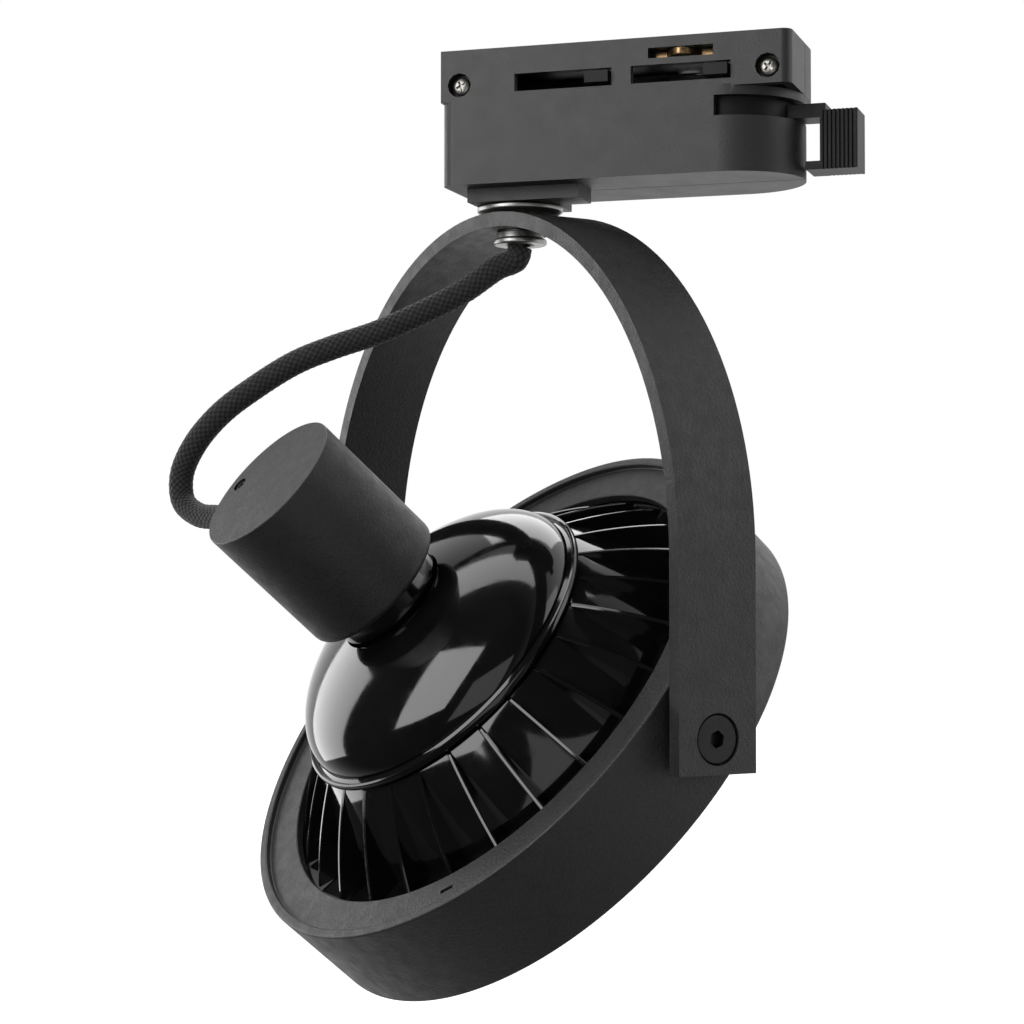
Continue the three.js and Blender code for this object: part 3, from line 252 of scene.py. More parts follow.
CORD_RADIUS = 2.6
CORD_GAP = 0.3
CORD_STEP = 0.25
CORD_SPAN_STEPS = 24
CORD_SIDES = 72
BRAID_CARRIERS = 12
BRAID_PITCH = 1.5
BRAID_RELIEF = 0.05


# ---- Placements from the frame ----

def joint(name):
    return next(j for j in frame["joints"] if j["name"] == name)


def placement(origin, x, z):
    """The matrix of a set of axes, from its origin, x and z in metres."""
    y = z.cross(x)
    turn = Matrix((x, y, z)).transposed().to_4x4()
    return Matrix.Translation(origin) @ turn


def middle(node):
    """The mean of a CAD node's vertices."""
    vertices = frame["nodes"][node].data.vertices
    return sum((v.co for v in vertices), Vector()) / len(vertices)


PIVOT = Vector(joint("head_tilt")["pos_m"])
ACROSS = -Vector(joint("head_tilt")["axis"]).normalized()
LAMP_LINE = middle("lamp_dome") - PIVOT
REARWARD = (LAMP_LINE - ACROSS * LAMP_LINE.dot(ACROSS)).normalized()
WORLD = Matrix.Identity(4)
YOKE = placement(PIVOT, ACROSS, UP)
HEAD = placement(PIVOT, ACROSS, REARWARD)


class Extent:
    """How far a CAD node reaches in a placement's own axes, in millimetres."""

    def __init__(self, node, place):
        inverse = place.inverted()
        points = [inverse @ v.co / MM for v in frame["nodes"][node].data.vertices]
        radii = [math.hypot(p.x, p.y) for p in points]
        self.low = min(p.z for p in points)
        self.high = max(p.z for p in points)
        self.radius = max(radii)
        self.bore = min(radii)
        self.side = max(abs(p.x) for p in points)
        self.depth = max(abs(p.y) for p in points)


# ---- Mesh helpers ----

def make(name, vertices, faces, place=WORLD):
    """A mesh object from millimetres in a placement's own axes."""
    mesh = bpy.data.meshes.new(name)
    mesh.from_pydata([tuple(c * MM for c in v) for v in vertices], [], faces)
    whole = bmesh.new()
    whole.from_mesh(mesh)
    bmesh.ops.remove_doubles(whole, verts=whole.verts, dist=WELD)
    bmesh.ops.recalc_face_normals(whole, faces=whole.faces)
    whole.to_mesh(mesh)
    whole.free()
    obj = bpy.data.objects.new(name, mesh)
    bpy.context.scene.collection.objects.link(obj)
    obj.matrix_world = place
    return obj


def tube_faces(first, rings, sides):
    """The faces of a closed tube whose rings of vertices follow each other."""
    last = first + (rings - 1) * sides
    faces = [tuple(end + k for k in range(sides)) for end in (first, last)]
    for here in range(first, last, sides):
        for k in range(sides):
            after = (k + 1) % sides
            faces.append((here + k, here + after, here + sides + after, here + sides + k))
    return faces


def apply_modifiers(obj):
    bpy.context.view_layer.update()
    evaluated = obj.evaluated_get(bpy.context.evaluated_depsgraph_get())
    mesh = bpy.data.meshes.new_from_object(evaluated)
    obj.modifiers.clear()
    obj.data = mesh


def settle(obj):
    """Applies an object's modifiers and shades it smooth, with its flat faces kept flat."""
    apply_modifiers(obj)
    obj.data.shade_smooth()
    obj.data.set_sharp_from_angle(angle=SHARP)
    weighting = obj.modifiers.new("weighting", "WEIGHTED_NORMAL")
    weighting.keep_sharp = True
    weighting.weight = BY_AREA
    apply_modifiers(obj)
    return obj


def bevel(obj, width, segments, angle=EDGE_ANGLE):
    rounding = obj.modifiers.new("rounding", "BEVEL")
    rounding.width = width * MM
    rounding.segments = segments
    rounding.limit_method = "ANGLE"
    rounding.angle_limit = angle
    return settle(obj)


def cut(obj, tools):
    """Cuts the tools out of an object and removes them."""
    for tool in tools:
        step = obj.modifiers.new("cut", "BOOLEAN")
        step.operation = "DIFFERENCE"
        step.solver = "EXACT"
        step.object = tool
    settle(obj)
    for tool in tools:
        bpy.data.objects.remove(tool)
    return obj


def filleted(corners, steps=FILLET_STEPS):
    """A closed outline from corners (radius, height, fillet), each fillet as a short curve."""
    outline = []
    for i, (r, z, fillet) in enumerate(corners):
        corner = Vector((r, z))
        if not fillet:
            outline.append(corner)
            continue
        before = Vector(corners[i - 1][:2])
        after = Vector(corners[(i + 1) % len(corners)][:2])
        start = corner + (before - corner).normalized() * fillet
        end = corner + (after - corner).normalized() * fillet
        for k in range(steps + 1):
            t = k / steps
            outline.append(start * (1 - t) ** 2 + corner * 2 * t * (1 - t) + end * t ** 2)
    return outline


def lathe(name, outline, place, segments):
    """A closed outline of (radius, height) turned round the placement's z axis."""
    vertices = []
    rings = []
    for r, z in outline:
        if r < ON_AXIS:
            rings.append([len(vertices)] * segments)
            vertices.append((0, 0, z))
            continue
        rings.append(list(range(len(vertices), len(vertices) + segments)))
        for k in range(segments):
            turn = 2 * math.pi * k / segments
            vertices.append((r * math.cos(turn), r * math.sin(turn), z))
    faces = []
    for one, two in zip(rings, rings[1:] + rings[:1]):
        for k in range(segments):
            after = (k + 1) % segments
            corners = list(dict.fromkeys((one[k], one[after], two[after], two[k])))
            if len(corners) > 2:
                faces.append(corners)
    return make(name, vertices, faces, place)


def rod(name, radius, low, high, place, segments=SMALL):
    """A cylinder along the placement's z axis."""
    return lathe(name, [(0, low), (radius, low), (radius, high), (0, high)], place, segments)


def box(name, low, high, place):
    corners = [(x, y, z) for x in (low[0], high[0]) for y in (low[1], high[1])
               for z in (low[2], high[2])]
    faces = [(0, 1, 3, 2), (4, 6, 7, 5), (0, 4, 5, 1), (2, 3, 7, 6), (0, 2, 6, 4), (1, 5, 7, 3)]
    return make(name, corners, faces, place)


def sideways(place, side):
    """A placement's axes turned so that z points along its own x, or against it."""
    turn = Matrix.Rotation(math.radians(90 * side), 4, "Y")
    return place @ turn


def refined(node, width):
    """A copy of a CAD node with its flat faces made whole and its edges rounded."""
    mesh = frame["nodes"][node].data.copy()
    whole = bmesh.new()
    whole.from_mesh(mesh)
    bmesh.ops.remove_doubles(whole, verts=whole.verts, dist=SKIN_WELD)
    bmesh.ops.dissolve_limit(
        whole, angle_limit=SKIN_FLATNESS, verts=whole.verts, edges=whole.edges,
    )
    whole.to_mesh(mesh)
    whole.free()
    mesh.materials.clear()
    obj = bpy.data.objects.new(node + "_skin", mesh)
    bpy.context.scene.collection.objects.link(obj)
    return bevel(obj, width, 2, SKIN_EDGE_ANGLE)


def place_on(obj, body, slot, *nodes):
    """Gives a piece its slot's material, its body and the CAD nodes that it stands for."""
    obj.data.transform(obj.matrix_world)
    obj.matrix_world = WORLD
    obj.data.materials.clear()
    obj.data.materials.append(MATERIALS[slot])
    if nodes:
        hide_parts(*nodes)
    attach(obj, body)
    return obj


# ---- Materials ----

# The band that most of a noise's values lie in.
NOISE_LOW = 0.3
NOISE_HIGH = 0.7
GREY_BLUE = 0.985


class Nodes:
    """A material's node tree, with its Principled shader."""

    def __init__(self, name, color, roughness, metallic=0.0):
        self.material = bpy.data.materials.new(name)
        self.material.use_nodes = True
        self.tree = self.material.node_tree
        self.shader = self.tree.nodes["Principled BSDF"]
        self.set(self.shader, "Base Color", (*color, 1))
        self.set(self.shader, "Roughness", roughness)
        self.set(self.shader, "Metallic", metallic)
        self.place = self.add("ShaderNodeTexCoord").outputs["Object"]
        self.normal = None

    def add(self, kind, **properties):
        node = self.tree.nodes.new(kind)
        for key, value in properties.items():
            setattr(node, key, value)
        return node

    def set(self, node, socket, value):
        node.inputs[socket].default_value = value

    def link(self, output, node, socket):
        self.tree.links.new(output, node.inputs[socket])

    def noise(self, size, detail=3, roughness=0.55):
        """Noise whose features are about size millimetres."""
        node = self.add("ShaderNodeTexNoise")
        self.link(self.place, node, "Vector")
        self.set(node, "Scale", 1 / (size * MM))
        self.set(node, "Detail", detail)
        self.set(node, "Roughness", roughness)
        return node.outputs["Fac"]

    def mapped(self, value, low, high, start=NOISE_LOW, end=NOISE_HIGH):
        node = self.add("ShaderNodeMapRange")
        self.link(value, node, "Value")
        self.set(node, "From Min", start)
        self.set(node, "From Max", end)
        self.set(node, "To Min", low)
        self.set(node, "To Max", high)
        return node.outputs["Result"]

    def colours(self, value, dark, light, start=NOISE_LOW, end=NOISE_HIGH):
        node = self.add("ShaderNodeValToRGB")
        self.link(value, node, "Fac")
        ramp = node.color_ramp
        ramp.elements[0].position = start
        ramp.elements[0].color = (*dark, 1)
        ramp.elements[1].position = end
        ramp.elements[1].color = (*light, 1)
        self.link(node.outputs["Color"], self.shader, "Base Color")

    def rough(self, value, low, high):
        self.link(self.mapped(value, low, high), self.shader, "Roughness")

    def bump(self, value, depth):
        """Raises the surface by depth millimetres where value is 1."""
        node = self.add("ShaderNodeBump")
        self.set(node, "Distance", depth * MM)
        self.link(value, node, "Height")
        if self.normal:
            self.link(self.normal, node, "Normal")
        self.normal = node.outputs["Normal"]
        self.link(self.normal, self.shader, "Normal")


def grey(value):
    return (value, value, value * GREY_BLUE)


def shade(color, share):
    return tuple(c * share for c in color)


def moulded_plastic(name, tone, roughness, grain, depth, specular):
    """Spark-eroded moulded plastic: a fine even grain and faint flow marks."""
    color = grey(tone)
    n = Nodes(name, color, roughness)
    n.set(n.shader, "Specular IOR Level", specular)
    n.colours(n.noise(size=22, detail=2), shade(color, 0.92), shade(color, 1.08))
    n.rough(n.noise(size=5), roughness - 0.02, roughness + 0.03)
    n.bump(n.noise(size=grain, roughness=0.65), depth)
    return n.material


def powder_coat(name, tone, roughness):
    """Fine-textured powder coat: a tight orange peel with slightly lighter specks."""
    color = grey(tone)
    n = Nodes(name, color, roughness)
    specks = n.noise(size=0.42, roughness=0.75)
    n.colours(specks, shade(color, 0.62), shade(color, 1.75), start=0.36, end=0.68)
    n.rough(n.noise(size=3), roughness - 0.06, roughness + 0.08)
    n.bump(n.noise(size=0.6, roughness=0.65), depth=0.11)
    return n.material


def gloss_plastic(name, tone, roughness):
    """Polished plastic with a slight ripple and a few dust-fine marks."""
    color = grey(tone)
    n = Nodes(name, color, roughness)
    n.colours(n.noise(size=9, detail=2), shade(color, 0.8), shade(color, 1.3))
    n.rough(n.noise(size=2.5, detail=4, roughness=0.7), roughness, roughness + 0.07)
    n.bump(n.noise(size=6, detail=1, roughness=0.4), depth=0.02)
    return n.material


def plated(name, color, roughness, depth=0.008):
    """Plated or bare metal with turned and handled marks."""
    n = Nodes(name, color, roughness, metallic=1.0)
    n.colours(n.noise(size=2, detail=4, roughness=0.7), shade(color, 0.85), color)
    n.rough(n.noise(size=0.9, detail=4, roughness=0.7), roughness, roughness + 0.15)
    n.bump(n.noise(size=0.3, roughness=0.6), depth)
    return n.material


def rubber(name, tone):
    """Matt moulded rubber."""
    color = grey(tone)
    n = Nodes(name, color, 0.75)
    n.colours(n.noise(size=2), shade(color, 0.8), shade(color, 1.3))
    n.rough(n.noise(size=1, detail=2), 0.65, 0.85)
    n.bump(n.noise(size=0.25, detail=2), depth=0.02)
    return n.material


def fired(name, color, roughness):
    """Ceramic, coated board or wire insulation: an even colour with faint mottling."""
    n = Nodes(name, color, roughness)
    n.colours(n.noise(size=3), shade(color, 0.88), color)
    n.rough(n.noise(size=1.2), roughness - 0.05, roughness + 0.1)
    n.bump(n.noise(size=0.8, detail=2), depth=0.015)
    return n.material


def frosted_lens(name):
    """A clear cover with a light frost."""
    n = Nodes(name, (0.93, 0.95, 0.97), 0.18)
    n.set(n.shader, "Transmission Weight", 0.85)
    n.set(n.shader, "IOR", 1.49)
    n.rough(n.noise(size=1.5), 0.12, 0.26)
    n.bump(n.noise(size=0.9, detail=2), depth=0.03)
    return n.material


def braided_textile(name):
    """Black braid: two families of yarns that cross, coloured darker in the weave's hollows as
    painted shade and lighter on its crowns as a painted highlight.
    """
    n = Nodes(name, grey(0.010), 0.85)
    n.set(n.shader, "Specular IOR Level", 0.3)
    n.set(n.shader, "Sheen Weight", 0.15)
    n.set(n.shader, "Sheen Roughness", 0.45)
    uv = n.add("ShaderNodeUVMap", uv_map="weave").outputs["UV"]
    split = n.add("ShaderNodeSeparateXYZ")
    n.link(uv, split, "Vector")
    waves = []
    for output in ("X", "Y"):
        wave = n.add("ShaderNodeMath", operation="COSINE")
        n.link(split.outputs[output], wave, 0)
        waves.append(wave.outputs["Value"])
    crown = n.add("ShaderNodeMath", operation="MULTIPLY")
    n.link(waves[0], crown, 0)
    n.link(waves[1], crown, 1)
    height = n.mapped(crown.outputs["Value"], 0, 1, start=-1, end=1)
    # Painted light: the weave's height sets its colour, darker in the hollows as painted shade and
    # lighter on the crowns as a painted highlight.
    n.colours(height, grey(0.004), grey(0.024), start=0.15, end=0.95)
    n.rough(n.noise(size=0.8), 0.7, 0.95)
    n.bump(height, depth=0.12)
    n.bump(n.noise(size=0.18, roughness=0.7), depth=0.06)
    return n.material


MATERIALS = {
    "adapter_plastic": moulded_plastic(
        "adapter_plastic", tone=0.0105, roughness=0.5, grain=0.35, depth=0.05, specular=0.5,
    ),
    # The lever's plastic is toned much darker than the adapter's. This is partly its own darker
    # plastic and partly painted shade, so that the parts in the lever slot look black.
    "lever_plastic": moulded_plastic(
        "lever_plastic", tone=0.0025, roughness=0.5, grain=0.5, depth=0.02, specular=0.22,
    ),
    "black_coat": powder_coat("black_coat", tone=0.0080, roughness=0.5),
    "lamp_black": gloss_plastic("lamp_black", tone=0.003, roughness=0.05),
    "chrome": plated("chrome", (0.30, 0.30, 0.29), roughness=0.3, depth=0.004),
    "nickel": plated("nickel", (0.26, 0.25, 0.23), roughness=0.3),
    "brass": plated("brass", (0.26, 0.17, 0.085), roughness=0.3),
    "black_steel": plated("black_steel", (0.035, 0.035, 0.037), roughness=0.38),
    "ceramic": fired("ceramic", (0.78, 0.75, 0.68), roughness=0.4),
    "lens": frosted_lens("lens"),
    "reflector": plated("reflector", (0.80, 0.81, 0.82), roughness=0.12, depth=0.01),
    "board": fired("board", (0.80, 0.80, 0.76), roughness=0.45),
    "braid": braided_textile("braid"),
    "rubber": rubber("rubber", tone=0.014),
    "wire_brown": fired("wire_brown", (0.13, 0.05, 0.02), roughness=0.5),
    "wire_blue": fired("wire_blue", (0.03, 0.08, 0.30), roughness=0.5),
}


# ---- Adapter ----

def adapter():
    for side in ("front", "rear"):
        node = f"adapter_{side}_shell"
        shell = refined(node, SHELL_EDGE)
        place_on(shell, "adapter", "adapter_plastic", node)
    for node, body in (("lock_lever", "lever"), ("latch_right", "lever"), ("latch_left", "latch")):
        place_on(refined(node, LEVER_EDGE), body, "lever_plastic", node)


# ---- Yoke ----

def arch(offset):
    """Half of the strap's line at one offset, from the crown down to the foot of an arm."""
    extent = Extent("yoke", YOKE)
    across = extent.side - YOKE_THICKNESS / 2 + offset
    rise = extent.high - YOKE_THICKNESS / 2 - YOKE_LEG + offset
    half = YOKE_STATIONS // 2
    turns = [math.pi / 2 * (half - i) / half for i in range(half + 1)]
    curve = [(across * math.cos(t), YOKE_LEG + rise * math.sin(t)) for t in turns]
    return curve + [(across, -YOKE_TAIL)]


def yoke_strap():
    extent = Extent("yoke", YOKE)
    width = extent.depth
    sides = [arch(YOKE_THICKNESS / 2), arch(-YOKE_THICKNESS / 2)]
    lines = [[(-x, z) for x, z in reversed(side[1:])] + side for side in sides]
    stations = [
        [(*outer, -width), (*outer, width), (*inner, width), (*inner, -width)]
        for outer, inner in zip(*lines)
    ]
    vertices = [(x, y, z) for station in stations for x, z, y in station]
    strap = make("yoke_strap", vertices, tube_faces(0, len(stations), len(stations[0])), YOKE)
    bore = Extent("hollow_nipple", WORLD).radius + NIPPLE_CLEARANCE
    crown = extent.high
    hole = rod("swivel_hole", bore, crown - CROWN_CUT, crown + CROWN_CUT, YOKE)
    seats = [pivot_seat(side) for side in (1, -1)]
    cut(strap, [hole, *seats])
    bevel(strap, STRAP_EDGE, 3)
    place_on(strap, "yoke", "black_coat", "yoke")


def pivot_seat(side):
    """The cutter of a screw's bore and countersink in one arm."""
    face = Extent("yoke", YOKE).side
    head = Extent("pivot_screw_right", sideways(YOKE, 1)).radius + PIVOT_SEAT_CLEARANCE
    outline = [
        (0, face - PIVOT_CUT_IN), (PIVOT_BORE, face - PIVOT_CUT_IN),
        (PIVOT_BORE, face - PIVOT_SEAT_FOOT), (head, face - PIVOT_SEAT_LAND),
        (head, face + PIVOT_CUT_OUT), (0, face + PIVOT_CUT_OUT),
    ]
    return lathe("pivot_seat", outline, sideways(YOKE, side), SMALL)


def pivot_screws():
    for name, side in (("right", 1), ("left", -1)):
        node = f"pivot_screw_{name}"
        place = sideways(HEAD, side)
        extent = Extent(node, place)
        face = extent.high
        outline = filleted([
            (0, extent.low, 0), (PIVOT_SHANK, extent.low, 0),
            (PIVOT_SHANK, face - PIVOT_HEAD_FOOT, 0), (extent.radius, face - PIVOT_HEAD_LAND, 0),
            (extent.radius, face, SOFT), (0, face, 0),
        ], FINE_FILLET_STEPS)
        screw = lathe(node + "_turned", outline, place, SMALL)
        corners = HEX_WIDTH / math.sqrt(3)
        socket = rod("socket", corners, face - HEX_DEPTH, face + CUT_PAST, place, HEXAGON)
        cut(screw, [socket])
        place_on(screw, "head", "black_steel", node)


# ---- Ring ----

def ring_housing():
    extent = Extent("ring_housing", HEAD)
    inside = Extent("lamp_retaining_ring", HEAD).radius + RETAINER_CLEARANCE
    outside = inside + RING_WALL
    flange_back = extent.high - FLANGE_RECESS
    flange_front = flange_back - FLANGE_THICKNESS
    outline = filleted([
        (outside, extent.low, ROUNDED), (outside, extent.high, ROUNDED),
        (inside, extent.high, SOFT), (inside, flange_back, EASED),
        (FLANGE_OPENING, flange_back, SOFT), (FLANGE_OPENING, flange_front, EASED),
        (inside, flange_front, 0), (inside, extent.low, SOFT),
    ])
    ring = lathe("ring_shell", outline, HEAD, 2 * ROUND)
    near, far = SLIT_RADII
    slit = box(
        "slit", (near, -SLIT_HALF_LENGTH, flange_front - CUT_PAST),
        (far, SLIT_HALF_LENGTH, flange_back + CUT_PAST),
        HEAD @ Matrix.Rotation(SLIT_TURN, 4, "Z"),
    )
    spots = [
        rod("spot", SPOT_RADIUS, outside - SPOT_DEPTH, outside + CUT_CLEAR, sideways(HEAD, side))
        for side in (1, -1)
    ]
    cut(ring, [slit, *spots])
    place_on(ring, "head", "black_coat", "ring_housing")


# ---- Lamp ----

def dome_outline(radius, foot, rise, opening, steps):
    """Half of the dome's line, from its foot up to the edge of its opening."""
    start = math.acos(opening / radius)
    turns = [start * i / steps for i in range(steps + 1)]
    return [(radius * math.cos(t), foot + rise * math.sin(t)) for t in turns]


def lamp_dome():
    extent = Extent("lamp_dome", HEAD)
    lip = extent.radius
    radius = lip - LIP_PAST_DOME
    opening = extent.bore
    foot = extent.low + LIP_HEIGHT
    rise = (extent.high - foot) / math.sin(math.acos(opening / radius))
    outer = dome_outline(radius, foot, rise, opening, DOME_STEPS)
    inner = dome_outline(radius - DOME_WALL, foot, rise - DOME_WALL, opening, DOME_STEPS // 2)
    outline = [
        (radius - DOME_WALL, extent.low), (lip - LIP_CHAMFER, extent.low),
        (lip, extent.low + LIP_CHAMFER), *((lip + r, foot + z) for r, z in LIP_BEAD),
        (radius + DOME_FOOT[0], foot + DOME_FOOT[1]), *outer, *inner[::-1],
    ]
    dome = lathe("lamp_dome_cap", outline, HEAD, ROUND)
    settle(dome)
    place_on(dome, "head", "lamp_black", "lamp_dome")


def curve_through(start, control, end, steps):
    """A quadratic curve's points in the (radius, height) plane."""
    shares = [i / steps for i in range(steps + 1)]
    return [
        tuple(
            a * (1 - t) ** 2 + c * 2 * t * (1 - t) + b * t ** 2
            for a, c, b in zip(start, control, end)
        )
        for t in shares
    ]


def heat_sink_lines():
    """The fins' outer edge and the bowl's wall, which falls away from it, from the top down."""
    extent = Extent("lamp_heat_sink", HEAD)
    flange_front = Extent("ring_housing", HEAD).high - FLANGE_RECESS - FLANGE_THICKNESS
    top = (Extent("lamp_dome", HEAD).radius - COLLAR_UNDER_LIP, extent.high)
    foot = (FLANGE_OPENING - FLANGE_CLEARANCE, flange_front)
    belly = tuple((a + b) / 2 + FIN_BELLY for a, b in zip(top, foot))
    edge = curve_through(top, belly, foot, FIN_STEPS)
    collar = (top[0] + COLLAR_FOOT[0], top[1] + COLLAR_FOOT[1])
    wall_foot = (foot[0] - WALL_FOOT_INSET, extent.low + HEAT_SINK_FLOOR)
    control = (wall_foot[0] + WALL_CONTROL[0], wall_foot[1] + WALL_CONTROL[1])
    return edge, curve_through(collar, control, wall_foot, FIN_STEPS)


def heat_sink_bowl(edge, wall):
    extent = Extent("lamp_heat_sink", HEAD)
    top = edge[0]
    foot, floor = wall[-1]
    drop = HEAT_SINK_WALL * HEAT_SINK_WALL_DROP
    inside = [(r - HEAT_SINK_WALL, z - drop) for r, z in wall[:-2]]
    outline = [
        (HEAT_SINK_BORE, top[1]), (top[0] - COLLAR_EDGE, top[1]), *wall,
        (extent.radius, floor + HEAT_SINK_FLOOR_RISE), (extent.radius, extent.low),
        (foot - HEAT_SINK_WALL, extent.low), *inside[::-1],
        (HEAT_SINK_BORE, top[1] - HEAT_SINK_WALL),
    ]
    bowl = lathe("heat_sink_bowl", outline, HEAD, FINS * BOWL_SIDES_PER_FIN)
    settle(bowl)
    place_on(bowl, "head", "lamp_black", "lamp_heat_sink")


def heat_sink_fins(edge, wall):
    crest = FIN_THICKNESS / 2
    ridge = crest * FIN_CREST_SHARE
    root = crest * FIN_ROOT_SHARE
    vertices = []
    faces = []
    for f in range(FINS):
        turn = Matrix.Rotation(FIN_PHASE + 2 * math.pi * f / FINS, 3, "Z")
        first = len(vertices)
        section = []
        for (r, z), (wall_r, wall_z) in zip(edge, wall):
            sunk = (wall_r - FIN_IN_CORE[0], wall_z - FIN_IN_CORE[1])
            eased = (r - FIN_CHAMFER[0], z - FIN_CHAMFER[1])
            section = [
                (*sunk, -root), (*eased, -crest), (r, z, -ridge),
                (r, z, ridge), (*eased, crest), (*sunk, root),
            ]
            vertices += [turn @ Vector((along, across, up)) for along, up, across in section]
        faces += tube_faces(first, len(edge), len(section))
    fins = make("heat_sink_fins", vertices, faces, HEAD)
    settle(fins)
    place_on(fins, "head", "lamp_black")


def lamp_neck():
    """The lamp's neck, with a groove where it leaves the dome and a step inside the can."""
    extent = Extent("lamp_base", HEAD)
    radius = extent.radius
    step = Extent("socket_can", HEAD).low + NECK_IN_CAN
    dome_top = Extent("lamp_dome", HEAD).high
    groove = radius - NECK_GROOVE
    cap = radius - NECK_STEP
    outline = filleted([
        (0, extent.low, 0), (radius - NECK_FOOT_INSET, extent.low, 0),
        (groove, dome_top - NECK_GROOVE, 0), (groove, dome_top + NECK_GROOVE_LOW, FINE),
        (radius, dome_top + NECK_GROOVE_HIGH, NECK_EDGE), (radius, step, ROUNDED),
        (cap, step + NECK_STEP, 0), (cap, extent.high, EASED), (0, extent.high, 0),
    ], FINE_FILLET_STEPS)
    neck = lathe("lamp_neck", outline, HEAD, MEDIUM)
    settle(neck)
    place_on(neck, "head", "lamp_black", "lamp_base")


def lamp_face():
    """The lamp's front rim and the ring that retains it."""
    extent = Extent("lamp_bezel", HEAD)
    wall = extent.radius - BEZEL_WALL
    lip = wall - BEZEL_LIP
    opening = FLANGE_OPENING + BEZEL_CLEARANCE
    outline = filleted([
        (lip, extent.low, BEZEL_LIP_EDGE), (extent.radius, extent.low, BEZEL_EDGE),
        (extent.radius, extent.high, EASED), (opening, extent.high, 0),
        (opening, extent.high - BEZEL_WALL, 0), (wall, extent.high - BEZEL_WALL, 0),
        (wall, extent.low + BEZEL_LIP / 2, 0), (lip, extent.low + BEZEL_LIP / 2, 0),
    ])
    rim = lathe("lamp_rim", outline, HEAD, ROUND)
    settle(rim)
    place_on(rim, "head", "lamp_black", "lamp_bezel")
    retainer = refined("lamp_retaining_ring", RETAINER_EDGE)
    place_on(retainer, "head", "black_steel", "lamp_retaining_ring")


# ---- Lampholder can ----

def bushing_place():
    """The axes of the cord's way into the can, with z outwards along it."""
    station = Extent("socket_can", HEAD).high - BUSHING_FROM_BACK
    return sideways(HEAD @ Matrix.Translation((0, 0, station * MM)), -1)


def can_screw_place():
    return HEAD @ Matrix.Translation((-CAN_SCREW_OFFSET * MM, 0, 0))


def socket_can():
    extent = Extent("socket_can", HEAD)
    radius = extent.radius
    inside = radius - CAN_WALL
    outline = filleted([
        (inside, extent.low, EASED), (radius, extent.low, CAN_MOUTH_EDGE),
        (radius, extent.high, EASED), (0, extent.high, 0), (0, extent.high - CAN_END_WALL, 0),
        (inside, extent.high - CAN_END_WALL, 0),
    ])
    can = lathe("can_shell", outline, HEAD, ROUND)
    mouth = rod(
        "mouth", BUSHING_MOUTH, radius - BUSHING_MOUTH_DEPTH, radius + CUT_CLEAR, bushing_place(),
    )
    hole = rod(
        "hole", CAN_SCREW_HOLE, extent.high - CAN_SCREW_HOLE_DEPTH, extent.high + CUT_PAST,
        can_screw_place(),
    )
    cut(can, [mouth, hole])
    place_on(can, "head", "black_coat", "socket_can")


# ---- Cord ----

def cord_points():
    """The cord's route in the yoke's own axes, which is the CAD cord's route too."""
    top = Extent("cord_outlet_nut", YOKE).low - CORD_GAP
    mouth = -(Extent("cord_bushing", sideways(HEAD, 1)).high + CORD_GAP)
    station = Extent("socket_can", HEAD).high - BUSHING_FROM_BACK
    back = YOKE.inverted().to_3x3() @ (HEAD.to_3x3() @ Vector((0, 0, station)))
    y, z = back.y, back.z
    return [
        (0, 0, top), (-0.4, -0.7, top - 2.6), (-2.7, -3.8, 95.2), (-6.9, -9.6, 90.3),
        (-11.7, -16.2, 86.1), (-17.5, -24.4, 81.7), (-23, -32, 78.6), (-27.6, -38.3, 75.5),
        (-32.8, -45, 70.4), (-38.2, -50.6, 64.8), (-43.6, -54, 58.4), (-47.4, -55.2, 52),
        (-47, -55, 46.6), (-42, -54, 43.6), (-35.5, y - 0.6, 42.9), (-28, y - 0.2, z - 0.4),
        (mouth - 4, y, z), (mouth, y, z),
    ]


def smooth_route(points, per_span):
    """A centripetal Catmull-Rom curve through the points."""
    spots = [Vector(p) for p in points]
    spots = [2 * spots[0] - spots[1], *spots, 2 * spots[-1] - spots[-2]]
    curve = []
    for a, b, c, d in zip(spots, spots[1:], spots[2:], spots[3:]):
        t0 = 0
        t1 = t0 + (b - a).length ** 0.5
        t2 = t1 + (c - b).length ** 0.5
        t3 = t2 + (d - c).length ** 0.5
        for k in range(per_span):
            t = t1 + (t2 - t1) * k / per_span
            ab = a * ((t1 - t) / (t1 - t0)) + b * ((t - t0) / (t1 - t0))
            bc = b * ((t2 - t) / (t2 - t1)) + c * ((t - t1) / (t2 - t1))
            cd = c * ((t3 - t) / (t3 - t2)) + d * ((t - t2) / (t3 - t2))
            abc = ab * ((t2 - t) / (t2 - t0)) + bc * ((t - t0) / (t2 - t0))
            bcd = bc * ((t3 - t) / (t3 - t1)) + cd * ((t - t1) / (t3 - t1))
            curve.append(abc * ((t2 - t) / (t2 - t1)) + bcd * ((t - t1) / (t2 - t1)))
    return curve + [spots[-2]]


def even_stations(curve, step):
    """Points along a curve at an even step, and the curve's length."""
    total = sum((b - a).length for a, b in zip(curve, curve[1:]))
    count = round(total / step)
    wanted = [total * i / count for i in range(count + 1)]
    stations = []
    run = 0
    i = 0
    for distance in wanted:
        while i < len(curve) - 2 and run + (curve[i + 1] - curve[i]).length < distance:
            run += (curve[i + 1] - curve[i]).length
            i += 1
        span = (curve[i + 1] - curve[i]).length
        stations.append(curve[i].lerp(curve[i + 1], min(1, (distance - run) / span)))
    return stations, total


